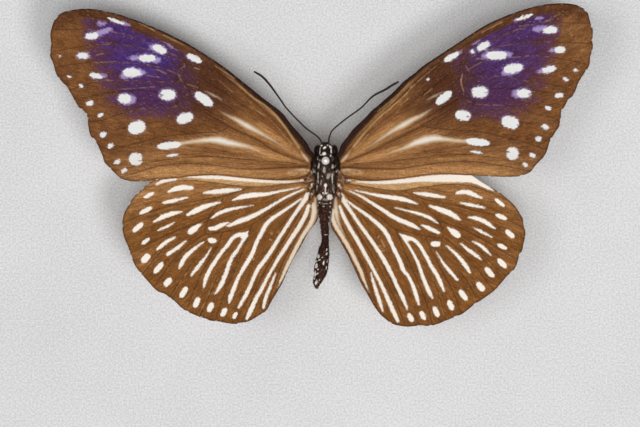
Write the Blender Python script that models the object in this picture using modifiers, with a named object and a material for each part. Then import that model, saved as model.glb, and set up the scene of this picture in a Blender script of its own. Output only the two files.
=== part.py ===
"""Pinned, spread butterfly: four wings, body, head, antennae and legs on an insect pin.

Metres, +Z up the pin. The origin is the pin's point, +X is the specimen's right wing as seen
from above and +Y is towards its head.
"""
import math

import bmesh
import bpy
import numpy as np
from mathutils import Matrix, Vector
from mathutils.geometry import delaunay_2d_cdt, interpolate_bezier

MM = 0.001

# Driving dimensions, in millimetres
PIN_LENGTH = 38.0
PIN_RADIUS = 0.25
PIN_HEAD_RADIUS = 0.65
PIN_TAPER = 3.0
BODY_Z = 24.8
FOREWING_Z = 25.35
HINDWING_Z = 24.45
WING_THICKNESS = 0.16
VEIN_RISE = 0.13
VEIN_REACH = 1.0
MARGIN_STEP = 1.5
SHEET_PITCH = 2.6
GAP = 0.3

THORAX_FRONT = 0.75
THORAX_REAR = -6.4
THORAX_HALF_WIDTH = 1.9
THORAX_HALF_HEIGHT = 2.3

HEAD_CENTRE = (0.05, 1.98, BODY_Z - 0.1)
HEAD_RADII = (1.25, 0.95, 1.15)
EYE_OFFSET = 1.22
EYE_RADII = (0.8, 0.92, 1.02)
EYE_Y = 2.02

ABDOMEN_SEGMENTS = 8
ABDOMEN_DEPTH_RATIO = 1.15

# Wing outlines seen from above, in millimetres, from the front of the base round to the back of it
LEFT_FOREWING = [
    (-2.45, 1.5), (-3.05, 3.2), (-5.0, 5.5), (-7.05, 8.1), (-10.0, 10.4), (-14.0, 13.6),
    (-18.0, 16.65), (-23.0, 19.8), (-27.7, 22.1), (-32.8, 24.1), (-36.6, 25.2), (-40.0, 25.6),
    (-43.2, 25.15), (-45.0, 24.0), (-45.8, 21.7), (-45.78, 19.95), (-45.97, 18.0),
    (-45.25, 15.95), (-44.3, 13.8), (-42.6, 11.7), (-41.1, 9.1), (-39.8, 7.8), (-39.5, 5.6),
    (-38.55, 3.65), (-37.4, 1.55), (-36.6, -0.3), (-35.0, -1.95), (-33.1, -3.1),
    (-30.0, -3.27), (-25.0, -2.75), (-18.0, -2.25), (-12.0, -2.82), (-8.0, -3.1),
    (-4.2, -2.8), (-2.45, -1.6),
]
RIGHT_FOREWING = [
    (2.45, 1.5), (2.95, 3.2), (4.5, 5.4), (6.8, 7.6), (9.7, 10.3), (13.0, 13.4),
    (18.0, 17.2), (23.0, 20.5), (27.0, 23.0), (32.0, 25.1), (36.0, 26.2), (39.5, 26.5),
    (41.9, 26.15), (43.7, 24.9), (44.55, 22.2), (44.5, 20.25), (44.66, 19.3),
    (44.15, 17.5), (43.3, 15.0), (41.9, 12.4), (40.3, 10.0), (39.3, 8.3), (38.95, 5.8),
    (37.6, 3.7), (36.8, 1.5), (35.6, 0.0), (34.3, -1.6), (31.7, -2.5), (28.3, -2.5),
    (24.0, -2.15), (18.0, -2.15), (12.0, -2.9), (8.0, -3.2), (4.2, -2.8), (2.45, -1.6),
]
LEFT_HINDWING = [
    (-2.5, -3.2), (-6.0, -1.95), (-12.0, -1.4), (-18.0, -0.95), (-23.0, -1.2),
    (-27.5, -2.4), (-31.8, -5.6), (-33.7, -8.8), (-33.97, -11.1), (-33.0, -14.0),
    (-32.0, -16.85), (-30.1, -19.4), (-27.9, -21.65), (-25.0, -23.4), (-22.1, -25.4),
    (-19.2, -26.5), (-15.4, -27.1), (-11.9, -26.15), (-9.5, -24.3), (-7.85, -21.4),
    (-5.9, -17.4), (-3.15, -12.4), (-1.75, -10.2), (-1.5, -8.9), (-1.75, -7.2), (-2.3, -5.2),
]
RIGHT_HINDWING = [
    (2.5, -3.2), (6.0, -1.95), (12.0, -1.3), (18.0, -0.85), (22.0, -1.0), (26.0, -3.0),
    (30.15, -5.9), (32.4, -8.4), (33.42, -11.9), (32.9, -14.65), (31.4, -18.1),
    (28.6, -21.1), (25.0, -23.75), (21.35, -26.0), (18.9, -27.0), (15.0, -27.4),
    (13.65, -27.57), (10.8, -26.8), (8.4, -24.5), (5.95, -20.3), (3.2, -14.6),
    (1.75, -11.8), (1.35, -10.2), (1.4, -8.9), (1.75, -7.2), (2.3, -5.2),
]

# Main veins of the left wings; the right wings carry their mirror image
FOREWING_VEINS = [
    [(-4.0, 2.0), (-8.2, 6.9), (-13.5, 11.4), (-19.0, 15.0), (-24.5, 17.6), (-33.0, 20.9), (-43.8, 22.0)],
    [(-25.0, 17.6), (-30.0, 18.8), (-37.1, 19.6), (-43.8, 18.7)],
    [(-24.6, 15.2), (-30.0, 16.2), (-37.7, 16.6), (-43.3, 16.0)],
    [(-24.5, 13.6), (-29.7, 13.5), (-36.0, 13.55), (-41.3, 12.5)],
    [(-5.9, 0.8), (-12.0, 4.0), (-18.0, 7.0), (-22.0, 9.4), (-30.0, 8.95), (-38.2, 6.8)],
    [(-17.5, 5.2), (-25.0, 4.5), (-31.0, 3.25), (-36.2, 2.0)],
    [(-4.5, -0.8), (-12.0, -1.2), (-18.0, -0.6), (-24.0, -0.3), (-30.0, -1.25), (-33.2, -2.1)],
    [(-14.0, 13.0), (-22.0, 18.0), (-30.0, 21.7), (-36.0, 23.8), (-41.0, 24.2)],
]
HINDWING_VEINS = [
    [(-4.5, -3.6), (-11.4, -4.15), (-17.1, -3.7), (-23.0, -3.1), (-29.0, -4.3)],
    [(-13.0, -5.0), (-17.6, -5.9), (-25.6, -7.4), (-32.6, -9.8)],
    [(-4.6, -5.8), (-10.8, -9.5), (-15.0, -11.3), (-19.4, -12.1), (-24.4, -15.3), (-28.6, -20.2)],
    [(-19.4, -9.4), (-24.5, -11.3), (-31.8, -14.9)],
    [(-17.1, -12.4), (-19.6, -16.7), (-22.9, -24.0)],
    [(-12.3, -11.2), (-15.1, -18.0), (-18.2, -25.8)],
    [(-3.9, -7.6), (-6.3, -11.9), (-10.2, -18.4), (-13.6, -26.1)],
    [(-3.4, -10.2), (-7.0, -16.8), (-10.0, -23.9)],
]

# Antenna routes, in millimetres, from the head outwards
LEFT_ANTENNA = [
    (-0.6, 2.9), (-0.9, 3.7), (-2.0, 4.75), (-3.6, 5.95), (-5.0, 7.35), (-6.6, 9.1),
    (-8.0, 11.1), (-9.4, 13.0), (-10.7, 14.35), (-11.9, 15.05),
]
RIGHT_ANTENNA = [
    (0.62, 2.9), (0.62, 3.9), (1.0, 5.05), (2.0, 6.05), (4.0, 7.6), (6.0, 9.05),
    (7.3, 10.4), (8.5, 11.3), (10.0, 12.05), (12.2, 13.35),
]
ANTENNA_RISE = 0.9

# Abdomen stations: distance along the body, sideways drift, half width
ABDOMEN_STATIONS = [
    (-6.95, -0.05, 0.95), (-8.0, -0.1, 0.98), (-9.0, -0.2, 0.88), (-10.5, -0.15, 0.7),
    (-12.5, -0.05, 0.56), (-13.4, -0.1, 0.66), (-14.5, -0.3, 0.88), (-16.0, -0.5, 1.02),
    (-17.5, -0.7, 1.12), (-18.6, -0.85, 1.02), (-19.5, -1.15, 0.84), (-20.3, -1.4, 0.5),
    (-21.0, -1.4, 0.15),
]


def clear_scene():
    for old in list(bpy.data.objects):
        bpy.data.objects.remove(old, do_unlink=True)


def make_collection(name):
    collection = bpy.data.collections.new(name)
    bpy.context.scene.collection.children.link(collection)
    return collection


def material(name, colour, roughness, metallic=0.0):
    made = bpy.data.materials.new(name)
    made.use_nodes = True
    shader = made.node_tree.nodes["Principled BSDF"]
    shader.inputs["Base Color"].default_value = (*colour, 1.0)
    shader.inputs["Roughness"].default_value = roughness
    shader.inputs["Metallic"].default_value = metallic
    made.diffuse_color = (*colour, 1.0)
    return made


def add_object(name, data, collection, finish=None):
    made = bpy.data.objects.new(name, data)
    collection.objects.link(made)
    if finish is not None:
        data.materials.clear()
        data.materials.append(finish)
    return made


def shade_round(mesh):
    mesh.shade_smooth()
    mesh.set_sharp_from_angle(angle=math.radians(40))


def apply_modifiers(made):
    """Swap an object's mesh for its evaluated one, and drop the modifiers."""
    depsgraph = bpy.context.evaluated_depsgraph_get()
    mesh = bpy.data.meshes.new_from_object(made.evaluated_get(depsgraph))
    made.modifiers.clear()
    made.data = mesh


def smooth_points(points, step, closed):
    """Points about a step apart on a smooth curve through the given ones."""
    count = len(points)
    spots = [Vector(p) for p in points]
    result = []
    for i in range(count if closed else count - 1):
        start, end = spots[i], spots[(i + 1) % count]
        before = spots[i - 1] if closed or i > 0 else start
        after = spots[(i + 2) % count] if closed or i + 2 < count else end
        reach = (end - start).length / 3.0
        handle_a = start + (end - before).normalized() * reach
        handle_b = end - (after - start).normalized() * reach
        pieces = max(1, round((end - start).length / step))
        result += interpolate_bezier(start, handle_a, handle_b, end, pieces + 1)[:-1]
    if not closed:
        result.append(spots[-1])
    return result


def distance_to_path(spots, path):
    """Shortest distance from each spot to a polyline, both as arrays of 2D points."""
    best = np.full(len(spots), np.inf)
    for a, b in zip(path[:-1], path[1:]):
        along = b - a
        share = np.clip(((spots - a) @ along) / (along @ along), 0.0, 1.0)
        best = np.minimum(best, np.linalg.norm(spots - a - share[:, None] * along, axis=1))
    return best


def inside_loop(spots, loop):
    """Which 2D points lie inside a closed polygon."""
    inside = np.zeros(len(spots), bool)
    for a, b in zip(loop, np.roll(loop, -1, axis=0)):
        crosses = (a[1] > spots[:, 1]) != (b[1] > spots[:, 1])
        rise = b[1] - a[1] if b[1] != a[1] else 1.0
        meets = a[0] + (spots[:, 1] - a[1]) / rise * (b[0] - a[0])
        inside ^= crosses & (spots[:, 0] < meets)
    return inside


def honeycomb(loop, pitch):
    """Evenly spread points over a polygon's box, alternate rows shifted by half a step."""
    low, high = loop.min(axis=0), loop.max(axis=0)
    row_step = pitch * math.sqrt(3.0) / 2.0
    spots = []
    for row in range(int((high[1] - low[1]) / row_step) + 1):
        shift = 0.5 * pitch * (row % 2)
        for column in range(int((high[0] - low[0]) / pitch) + 1):
            spots.append((low[0] + shift + column * pitch, low[1] + row * row_step))
    return np.array(spots)


def forewing_height(x, y):
    """Height of the forewing's sheet: the leading edge rolls down, the tip lifts a little."""
    span = np.abs(x) / 45.0
    return FOREWING_Z + 0.25 * span ** 2 - 0.006 * np.maximum(0.0, 6.0 - np.abs(x)) ** 2


def hindwing_height(x, y):
    """Height of the hindwing's sheet: it lies under the forewing and lifts towards its margin."""
    reach = np.hypot(x, y + 4.0) / 33.0
    return HINDWING_Z + 0.2 * reach ** 2


def wing(name, outline, veins, height, finish, collection):
    """A thin veined sheet: the outline and the veins meshed together, raised along the veins."""
    margin = smooth_points(outline, MARGIN_STEP, closed=True)
    loop = np.array([tuple(p) for p in margin])
    spots = [Vector(p) for p in loop]
    edges = [(i, (i + 1) % len(loop)) for i in range(len(loop))]
    vein_paths = []
    ring = np.vstack([loop, loop[:1]])
    for vein in veins:
        path = np.array([tuple(p) for p in smooth_points(vein, SHEET_PITCH, closed=False)])
        path = path[inside_loop(path, loop) & (distance_to_path(path, ring) > 0.5)]
        first = len(spots)
        spots += [Vector(p) for p in path]
        edges += [(i, i + 1) for i in range(first, len(spots) - 1)]
        vein_paths.append(path)
    fill = honeycomb(loop, SHEET_PITCH)
    clear = inside_loop(fill, loop) & (distance_to_path(fill, ring) > 0.45 * SHEET_PITCH)
    for path in vein_paths:
        clear &= distance_to_path(fill, path) > 0.4 * SHEET_PITCH
    spots += [Vector(p) for p in fill[clear]]
    flat, _, faces, _, _, _ = delaunay_2d_cdt(spots, edges, [], 1, 1e-5)

    plan = np.array([tuple(p) for p in flat])
    nearest = np.min([distance_to_path(plan, path) for path in vein_paths], axis=0)
    z = height(plan[:, 0], plan[:, 1]) + VEIN_RISE * np.clip(1.0 - nearest / VEIN_REACH, 0.0, 1.0)
    mesh = bpy.data.meshes.new(name)
    mesh.from_pydata([(x * MM, y * MM, h * MM) for (x, y), h in zip(plan, z)], [], faces)
    made = add_object(name, mesh, collection, finish)
    sheet = made.modifiers.new("thickness", "SOLIDIFY")
    sheet.thickness = WING_THICKNESS * MM
    sheet.offset = 0.0
    return made


def ellipsoid(name, centre, radii, segments, rings, collection, finish=None):
    """A closed ellipsoid with its poles fore and aft."""
    mesh = bpy.data.meshes.new(name)
    shape = bmesh.new()
    bmesh.ops.create_uvsphere(shape, u_segments=segments, v_segments=rings, radius=1.0)
    poles_along_body = Matrix.Rotation(math.radians(90), 4, "X")
    bmesh.ops.transform(shape, matrix=poles_along_body, verts=shape.verts)
    bmesh.ops.scale(shape, vec=Vector(radii) * MM, verts=shape.verts)
    bmesh.ops.translate(shape, vec=Vector(centre) * MM, verts=shape.verts)
    shape.to_mesh(mesh)
    shape.free()
    shade_round(mesh)
    return add_object(name, mesh, collection, finish)


def cut(made, cutter):
    """Take a cutter's shape out of an object."""
    cutter.hide_render = True
    cutter.display_type = "WIRE"
    hole = made.modifiers.new("cut", "BOOLEAN")
    hole.operation = "DIFFERENCE"
    hole.object = cutter


def tube(name, points, radii, finish, collection, sides=2, flatten=None):
    """A tapered tube through the points, closed at its ends; flatten scales it about its axis in Z."""
    data = bpy.data.curves.new(name, "CURVE")
    data.dimensions = "3D"
    data.bevel_depth = 1.0 * MM
    data.bevel_resolution = sides
    data.use_fill_caps = True
    spline = data.splines.new("POLY")
    spline.points.add(len(points) - 1)
    for point, spot, radius in zip(spline.points, points, radii):
        point.co = (*(Vector(spot) * MM), 1.0)
        point.radius = radius
    guide = add_object(name + "_guide", data, collection)
    depsgraph = bpy.context.evaluated_depsgraph_get()
    mesh = bpy.data.meshes.new_from_object(guide.evaluated_get(depsgraph))
    bpy.data.objects.remove(guide)
    shape = bmesh.new()
    shape.from_mesh(mesh)
    bmesh.ops.remove_doubles(shape, verts=shape.verts, dist=1e-7)
    if flatten is not None:
        for vertex in shape.verts:
            vertex.co.z = BODY_Z * MM + (vertex.co.z - BODY_Z * MM) * flatten
    bmesh.ops.recalc_face_normals(shape, faces=shape.faces)
    shape.to_mesh(mesh)
    shape.free()
    shade_round(mesh)
    return add_object(name, mesh, collection, finish)


def make_pin(collection, finish):
    """The pin as a turned profile, from the top of its round head down to its point."""
    head_z = PIN_LENGTH - PIN_HEAD_RADIUS
    profile = [(0.0, PIN_LENGTH)]
    head_steps = 9
    neck_angle = math.pi - math.asin(PIN_RADIUS / PIN_HEAD_RADIUS)
    for i in range(1, head_steps + 1):
        angle = neck_angle * i / head_steps
        profile.append((PIN_HEAD_RADIUS * math.sin(angle), head_z + PIN_HEAD_RADIUS * math.cos(angle)))
    profile += [(PIN_RADIUS, PIN_TAPER), (0.55 * PIN_RADIUS, 0.3 * PIN_TAPER), (0.0, 0.0)]
    mesh = bpy.data.meshes.new("pin")
    mesh.from_pydata([(r * MM, 0.0, z * MM) for r, z in profile], [(i, i + 1) for i in range(len(profile) - 1)], [])
    made = add_object("pin", mesh, collection)
    turn = made.modifiers.new("turn", "SCREW")
    turn.steps = 16
    turn.render_steps = 16
    turn.use_merge_vertices = True
    turn.merge_threshold = 0.00001
    apply_modifiers(made)
    made.data.materials.append(finish)
    shade_round(made.data)


def make_thorax(collection, cutters, finish):
    """The thorax, full at its shoulders and hips, with the pin's hole through it."""
    middle = 0.5 * (THORAX_FRONT + THORAX_REAR)
    half_length = 0.5 * (THORAX_FRONT - THORAX_REAR)
    radii = (THORAX_HALF_WIDTH, half_length, THORAX_HALF_HEIGHT)
    made = ellipsoid("thorax", (0.0, middle, BODY_Z - 0.1), radii, 24, 14, collection, finish)
    for vertex in made.data.vertices:
        along = (vertex.co.y / MM - middle) / half_length
        vertex.co.x *= math.sqrt(1.0 + along * along)
    drill = bpy.data.meshes.new("pin_hole")
    shape = bmesh.new()
    radius = (PIN_RADIUS + GAP) * MM
    bmesh.ops.create_cone(shape, cap_ends=True, segments=16, radius1=radius, radius2=radius, depth=8.0 * MM)
    bmesh.ops.translate(shape, vec=(0.0, 0.0, BODY_Z * MM), verts=shape.verts)
    shape.to_mesh(drill)
    shape.free()
    cut(made, add_object("pin_hole", drill, cutters))


def make_head(collection, cutters, finish, eye_finish):
    """The head between two large eyes, hollowed where each eye sits."""
    head = ellipsoid("head", HEAD_CENTRE, HEAD_RADII, 20, 14, collection, finish)
    for side, name in ((-1, "eye_left"), (1, "eye_right")):
        centre = (HEAD_CENTRE[0] + side * EYE_OFFSET, EYE_Y, HEAD_CENTRE[2] + 0.05)
        ellipsoid(name, centre, EYE_RADII, 14, 10, collection, eye_finish)
        socket_radii = tuple(r + 0.2 for r in EYE_RADII)
        cut(head, ellipsoid(name + "_socket", centre, socket_radii, 14, 10, cutters))


def make_abdomen(collection, finish):
    """The abdomen as one tapered tube, pinched slightly between its segments."""
    spine = smooth_points([(x, y, 0.0) for y, x, _ in ABDOMEN_STATIONS], 0.62, closed=False)
    stations = sorted(ABDOMEN_STATIONS)
    along = [s[0] for s in stations]
    widths = [s[2] for s in stations]
    start, end = ABDOMEN_STATIONS[0][0], ABDOMEN_STATIONS[-1][0]
    points = []
    radii = []
    for spot in spine:
        share = (spot.y - start) / (end - start)
        pinch = 1.0 - 0.05 * abs(math.sin(math.pi * ABDOMEN_SEGMENTS * share)) ** 6
        droop = -0.5 * share
        points.append((spot.x, spot.y, BODY_Z + droop))
        radii.append(float(np.interp(spot.y, along, widths)) * pinch)
    tube("abdomen", points, radii, finish, collection, sides=4, flatten=ABDOMEN_DEPTH_RATIO)


def make_antenna(name, route, collection, finish):
    """One antenna: a hair-thin shaft that thickens evenly into a long slim club."""
    plan = smooth_points(route, 0.9, closed=False)
    count = len(plan) - 1
    points = []
    radii = []
    for i, spot in enumerate(plan):
        share = i / count
        points.append((spot.x, spot.y, BODY_Z + 0.9 + ANTENNA_RISE * share))
        club = max(0.0, (share - 0.55) / 0.45)
        radii.append(0.085 + 0.055 * club * (1.0 if share < 0.98 else 0.4))
    tube(name, points, radii, finish, collection, sides=1)


def make_palp(name, side, collection, finish):
    """One palp, curving up in front of the face."""
    route = [(0.42, 2.95, 23.35), (0.4, 3.2, 23.8), (0.32, 3.32, 24.3), (0.24, 3.35, 24.8), (0.2, 3.3, 25.2)]
    points = [(HEAD_CENTRE[0] + side * x, y, z) for x, y, z in route]
    tube(name, points, [0.14, 0.2, 0.19, 0.15, 0.07], finish, collection)


def make_proboscis(collection, finish):
    """The tongue, coiled like a watch spring below the face."""
    turns = 2.4
    count = 34
    points = []
    radii = []
    for i in range(count + 1):
        share = i / count
        angle = math.radians(60) + turns * 2.0 * math.pi * share
        reach = 0.95 - 0.75 * share
        points.append((HEAD_CENTRE[0], 2.3 + reach * math.cos(angle), 22.2 + reach * math.sin(angle)))
        radii.append(0.1 - 0.04 * share)
    tube("proboscis", points, radii, finish, collection, sides=1)


def make_leg(name, side, route, thickness, collection, finish):
    """One folded leg: thigh, shin and foot in a single bent tube."""
    shaft = [(side * x, y, z) for x, y, z in route]
    points = smooth_points(shaft, 0.8, closed=False)
    count = len(points) - 1
    radii = [thickness * (1.0 - 0.62 * (i / count) ** 0.8) for i in range(count + 1)]
    tube(name, points, radii, finish, collection, sides=1)


def main():
    clear_scene()
    specimen = make_collection("pinned_butterfly")
    cutters = make_collection("cutters")

    steel = material("pin_steel", (0.78, 0.76, 0.72), 0.3, 1.0)
    body = material("body_scales", (0.035, 0.024, 0.02), 0.75)
    eyes = material("eye_surface", (0.02, 0.014, 0.012), 0.25)
    horn = material("dark_horn", (0.02, 0.013, 0.01), 0.45)
    upper_wing = material("forewing_scales", (0.17, 0.075, 0.03), 0.6)
    lower_wing = material("hindwing_scales", (0.19, 0.085, 0.03), 0.6)

    make_pin(specimen, steel)
    make_thorax(specimen, cutters, body)
    make_head(specimen, cutters, body, eyes)
    make_abdomen(specimen, body)
    make_proboscis(specimen, horn)

    mirrored_fore = [[(-x, y) for x, y in vein] for vein in FOREWING_VEINS]
    mirrored_hind = [[(-x, y) for x, y in vein] for vein in HINDWING_VEINS]
    wing("forewing_left", LEFT_FOREWING[::-1], FOREWING_VEINS, forewing_height, upper_wing, specimen)
    wing("forewing_right", RIGHT_FOREWING, mirrored_fore, forewing_height, upper_wing, specimen)
    wing("hindwing_left", LEFT_HINDWING[::-1], HINDWING_VEINS, hindwing_height, lower_wing, specimen)
    wing("hindwing_right", RIGHT_HINDWING, mirrored_hind, hindwing_height, lower_wing, specimen)

    foreleg = [(0.5, 0.2, 22.15), (0.75, -0.5, 21.6), (0.7, -1.5, 21.3), (0.55, -2.2, 21.5)]
    midleg = [(0.95, -1.5, 22.0), (1.9, -0.6, 20.9), (2.3, -2.6, 20.1), (1.9, -5.4, 19.9), (1.7, -8.0, 20.3)]
    hindleg = [(0.7, -3.9, 22.0), (1.2, -3.2, 20.8), (1.1, -5.6, 19.9), (0.65, -8.4, 20.0), (0.4, -11.0, 20.5)]
    for side, word in ((-1, "left"), (1, "right")):
        make_antenna("antenna_" + word, LEFT_ANTENNA if side < 0 else RIGHT_ANTENNA, specimen, horn)
        make_palp("palp_" + word, side, specimen, body)
        make_leg("foreleg_" + word, side, foreleg, 0.15, specimen, horn)
        make_leg("midleg_" + word, side, midleg, 0.24, specimen, horn)
        make_leg("hindleg_" + word, side, hindleg, 0.24, specimen, horn)


main()
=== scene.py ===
"""Looks of the pinned butterfly: scaled wings with their markings, hairy body, antennae, legs and pin.

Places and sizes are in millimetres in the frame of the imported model, whose origin is the pin's point.
"""
import math

import bmesh
import bpy
import numpy as np
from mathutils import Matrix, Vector, noise
from mathutils.geometry import delaunay_2d_cdt, interpolate_bezier


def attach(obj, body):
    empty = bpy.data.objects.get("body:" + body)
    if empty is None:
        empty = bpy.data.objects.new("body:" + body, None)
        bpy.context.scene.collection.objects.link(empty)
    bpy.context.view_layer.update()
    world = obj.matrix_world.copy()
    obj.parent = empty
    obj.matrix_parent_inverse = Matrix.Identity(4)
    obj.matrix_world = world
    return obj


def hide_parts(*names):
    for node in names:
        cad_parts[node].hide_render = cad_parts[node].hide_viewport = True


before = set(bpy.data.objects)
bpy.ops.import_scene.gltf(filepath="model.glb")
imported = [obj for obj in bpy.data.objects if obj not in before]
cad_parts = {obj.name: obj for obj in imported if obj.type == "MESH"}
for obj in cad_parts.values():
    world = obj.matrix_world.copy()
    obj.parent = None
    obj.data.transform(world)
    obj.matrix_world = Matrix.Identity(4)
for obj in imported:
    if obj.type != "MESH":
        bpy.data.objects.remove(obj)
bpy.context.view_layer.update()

MM = 0.001
WING_PITCH = 0.21
EDGE_STEP = 0.16
VEIN_STEP = 0.25
FOREWING_Z = 25.35
HINDWING_Z = 24.45
BODY_Z = 24.8
FLOOR_Z = 10
FAR_OUTSIDE = -9.0
OVAL_POWER = 2.4

# Linear colours
DARK_BROWN = (0.125, 0.044, 0.012)
FORE_BROWN = (0.220, 0.088, 0.027)
HIND_BROWN = (0.235, 0.091, 0.020)
HIND_DARK = (0.155, 0.056, 0.012)
TAN = (0.455, 0.222, 0.080)
PALE_TAN = (0.66, 0.40, 0.18)
CREAM = (0.765, 0.61, 0.435)
WHITE = (0.82, 0.815, 0.795)
WARM_WHITE = (0.96, 0.88, 0.775)
LILAC = (0.50, 0.38, 0.68)
VIOLET = (0.082, 0.026, 0.080)
DEEP_VIOLET = (0.056, 0.024, 0.160)
PLUM = (0.112, 0.038, 0.050)
DARK_PLUM = (0.060, 0.020, 0.028)
VEIN_BROWN = (0.060, 0.022, 0.008)
VEIN_OCHRE = (0.280, 0.150, 0.070)
COSTA_BLACK = (0.022, 0.008, 0.005)
DUSK = (0.080, 0.025, 0.010)
BASE_DARK = (0.024, 0.011, 0.008)


# Wing data. Outlines run from the front of the base round to the back of it.

LEFT_FOREWING = [
    (-0.9, 0.5), (-1.9, 1.5), (-2.4, 2), (-3.05, 3.2), (-4.1, 4.5), (-5, 5.5), (-6, 6.7), (-7.05, 8.1),
    (-8, 8.9), (-10, 10.4), (-12, 12), (-14, 13.6), (-16, 15.2), (-18, 16.65), (-20, 17.95), (-23, 19.8),
    (-25, 20.8), (-27.7, 22.1), (-30, 23.05), (-32.8, 24.1), (-35, 24.8), (-38.2, 25.45), (-40, 25.58),
    (-41.9, 25.4), (-43.2, 25.15), (-44.3, 24.65), (-44.9, 24.1), (-45.3, 23.4), (-45.6, 22.5),
    (-45.8, 21.7), (-45.85, 20.9), (-45.75, 19.95), (-45.8, 19), (-45.93, 18), (-45.88, 17.5),
    (-45.5, 16.7), (-45.25, 15.95), (-45, 15.05), (-44.7, 14.3), (-44.3, 13.8), (-43.7, 13.1),
    (-43.05, 12.5), (-42.6, 11.7), (-42.1, 10.8), (-41.6, 9.9), (-41.1, 9.1), (-40.5, 8.7), (-39.9, 8),
    (-39.6, 7.2), (-39.6, 6.4), (-39.45, 5.4), (-39.2, 4.45), (-38.55, 3.65), (-38, 2.85), (-37.6, 2.05),
    (-37.4, 1.55), (-37.1, 0.8), (-36.9, 0), (-36.3, -0.65), (-35.7, -1.3), (-35, -1.95), (-34.6, -2.35),
    (-34.1, -2.75), (-33.1, -3.1), (-32, -3.27), (-30, -3.25), (-28.5, -3.1), (-25, -2.75), (-22, -2.4),
    (-18, -2.25), (-15, -2.55), (-12, -2.82), (-8, -3.1), (-5, -2.95), (-3.05, -2.45), (-2.2, -2.3),
    (-0.9, -2.1),
]
RIGHT_FOREWING = [
    (0.9, 0.5), (2, 1.5), (2.3, 2), (2.5, 2.7), (2.9, 3.3), (3.7, 4.3), (4.5, 5.4), (6, 6.8), (6.8, 7.6),
    (7.7, 8.6), (8.7, 9.4), (9.7, 10.3), (11, 11.4), (13, 13.4), (15, 14.95), (16, 15.85), (18, 17.2),
    (20.2, 18.65), (23, 20.5), (25, 21.8), (27, 23), (30, 24.35), (32, 25.1), (34, 25.7), (36, 26.2),
    (38, 26.42), (39.5, 26.47), (40.8, 26.4), (41.9, 26.15), (43, 25.6), (43.7, 24.9), (44, 23.9),
    (44.25, 23), (44.55, 22.2), (44.6, 21.4), (44.5, 20.25), (44.62, 19.3), (44.45, 18.3), (44.15, 17.5),
    (44.1, 16.6), (43.85, 15.8), (43.3, 15), (42.8, 14.2), (42.2, 13.25), (41.9, 12.4), (41.45, 11.4),
    (41, 10.7), (40.3, 10), (39.8, 9.1), (39.3, 8.3), (39.3, 7.4), (39.1, 6.6), (38.95, 5.8), (38.55, 5.25),
    (38.1, 4.55), (37.6, 3.7), (37.3, 3.1), (37.1, 2.3), (36.8, 1.5), (36.3, 0.7), (35.6, 0), (35, -0.65),
    (34.5, -1.3), (34.3, -1.6), (33.6, -2), (32.8, -2.3), (31.7, -2.47), (30, -2.52), (28.3, -2.47),
    (25, -2.3), (20, -2.1), (18, -2.15), (15.9, -2.4), (14, -2.65), (12, -2.9), (10, -3.1), (8, -3.2),
    (6, -3.15), (5, -2.95), (3.25, -2.6), (2.3, -2.35), (0.9, -2.1),
]
LEFT_HINDWING = [
    (-0.8, -1.6), (-2.6, -1.6), (-6, -1.6), (-12, -1.45), (-18, -1), (-23, -1.3), (-26.5, -2.1),
    (-29, -3.2), (-29.95, -3.8), (-30.9, -4.7), (-31.8, -5.6), (-32.6, -6.55), (-33.15, -7.6),
    (-33.55, -8.4), (-33.8, -9.2), (-33.93, -10.15), (-33.93, -11.1), (-33.75, -12.05), (-33.45, -13.05),
    (-33, -14), (-32.7, -14.95), (-32.4, -15.9), (-32, -16.85), (-31.5, -17.7), (-30.9, -18.5),
    (-30.1, -19.4), (-29.3, -20.3), (-28.7, -21), (-27.9, -21.65), (-26.9, -22), (-25.95, -22.7),
    (-25, -23.4), (-24.2, -24.2), (-23.2, -24.9), (-22.1, -25.4), (-21, -25.9), (-20, -26.15),
    (-19.2, -26.5), (-18.1, -26.6), (-17, -26.8), (-15.9, -27), (-14.9, -27.05), (-13.9, -26.9),
    (-12.8, -26.6), (-11.9, -26.15), (-10.9, -25.5), (-9.95, -24.9), (-9.5, -24.3), (-9.1, -23.5),
    (-8.5, -22.5), (-7.85, -21.4), (-7.2, -20.3), (-6.75, -19.25), (-5.9, -17.4), (-4.95, -15.55),
    (-4.1, -14.1), (-3.15, -12.4), (-2.45, -11.3), (-1.75, -10.4), (-1.35, -9.8), (-1.2, -9.2),
    (-1.3, -7.5), (-1.2, -6), (-0.9, -4.8),
]
RIGHT_HINDWING = [
    (0.8, -1.6), (2.6, -1.6), (6, -1.6), (12, -1.35), (18, -0.9), (22, -1.1), (24, -1.85), (25, -2.5),
    (25.8, -3.1), (26.95, -3.8), (28.1, -4.45), (29.2, -5.1), (30.15, -5.9), (31.1, -6.7), (31.9, -7.6),
    (32.4, -8.4), (32.95, -9.35), (33.2, -10.3), (33.38, -11.4), (33.38, -12.55), (33.1, -13.65),
    (32.9, -14.65), (32.4, -15.6), (32.15, -16.55), (31.85, -17.35), (31.4, -18.1), (30.8, -18.65),
    (30.2, -19.2), (28.6, -21.1), (27.4, -22.1), (26.15, -23), (25, -23.75), (23.9, -24.6), (22.8, -25.4),
    (21.35, -26), (20, -26.55), (18.9, -27), (17.65, -27.33), (16.4, -27.4), (15, -27.4), (13.65, -27.52),
    (12.7, -27.4), (11.6, -27.2), (10.8, -26.8), (10, -26.2), (9.2, -25.5), (8.4, -24.5), (7.6, -23.2),
    (6.8, -21.75), (5.95, -20.3), (5.1, -18.5), (4.4, -17), (3.8, -15.7), (3.2, -14.6), (2.6, -13.6),
    (1.9, -12.4), (1.2, -11.35), (0.86, -10.5), (0.9, -9.6), (1, -8.9), (1.1, -7.9), (1.1, -6.5),
    (0.9, -4.8),
]

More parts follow.
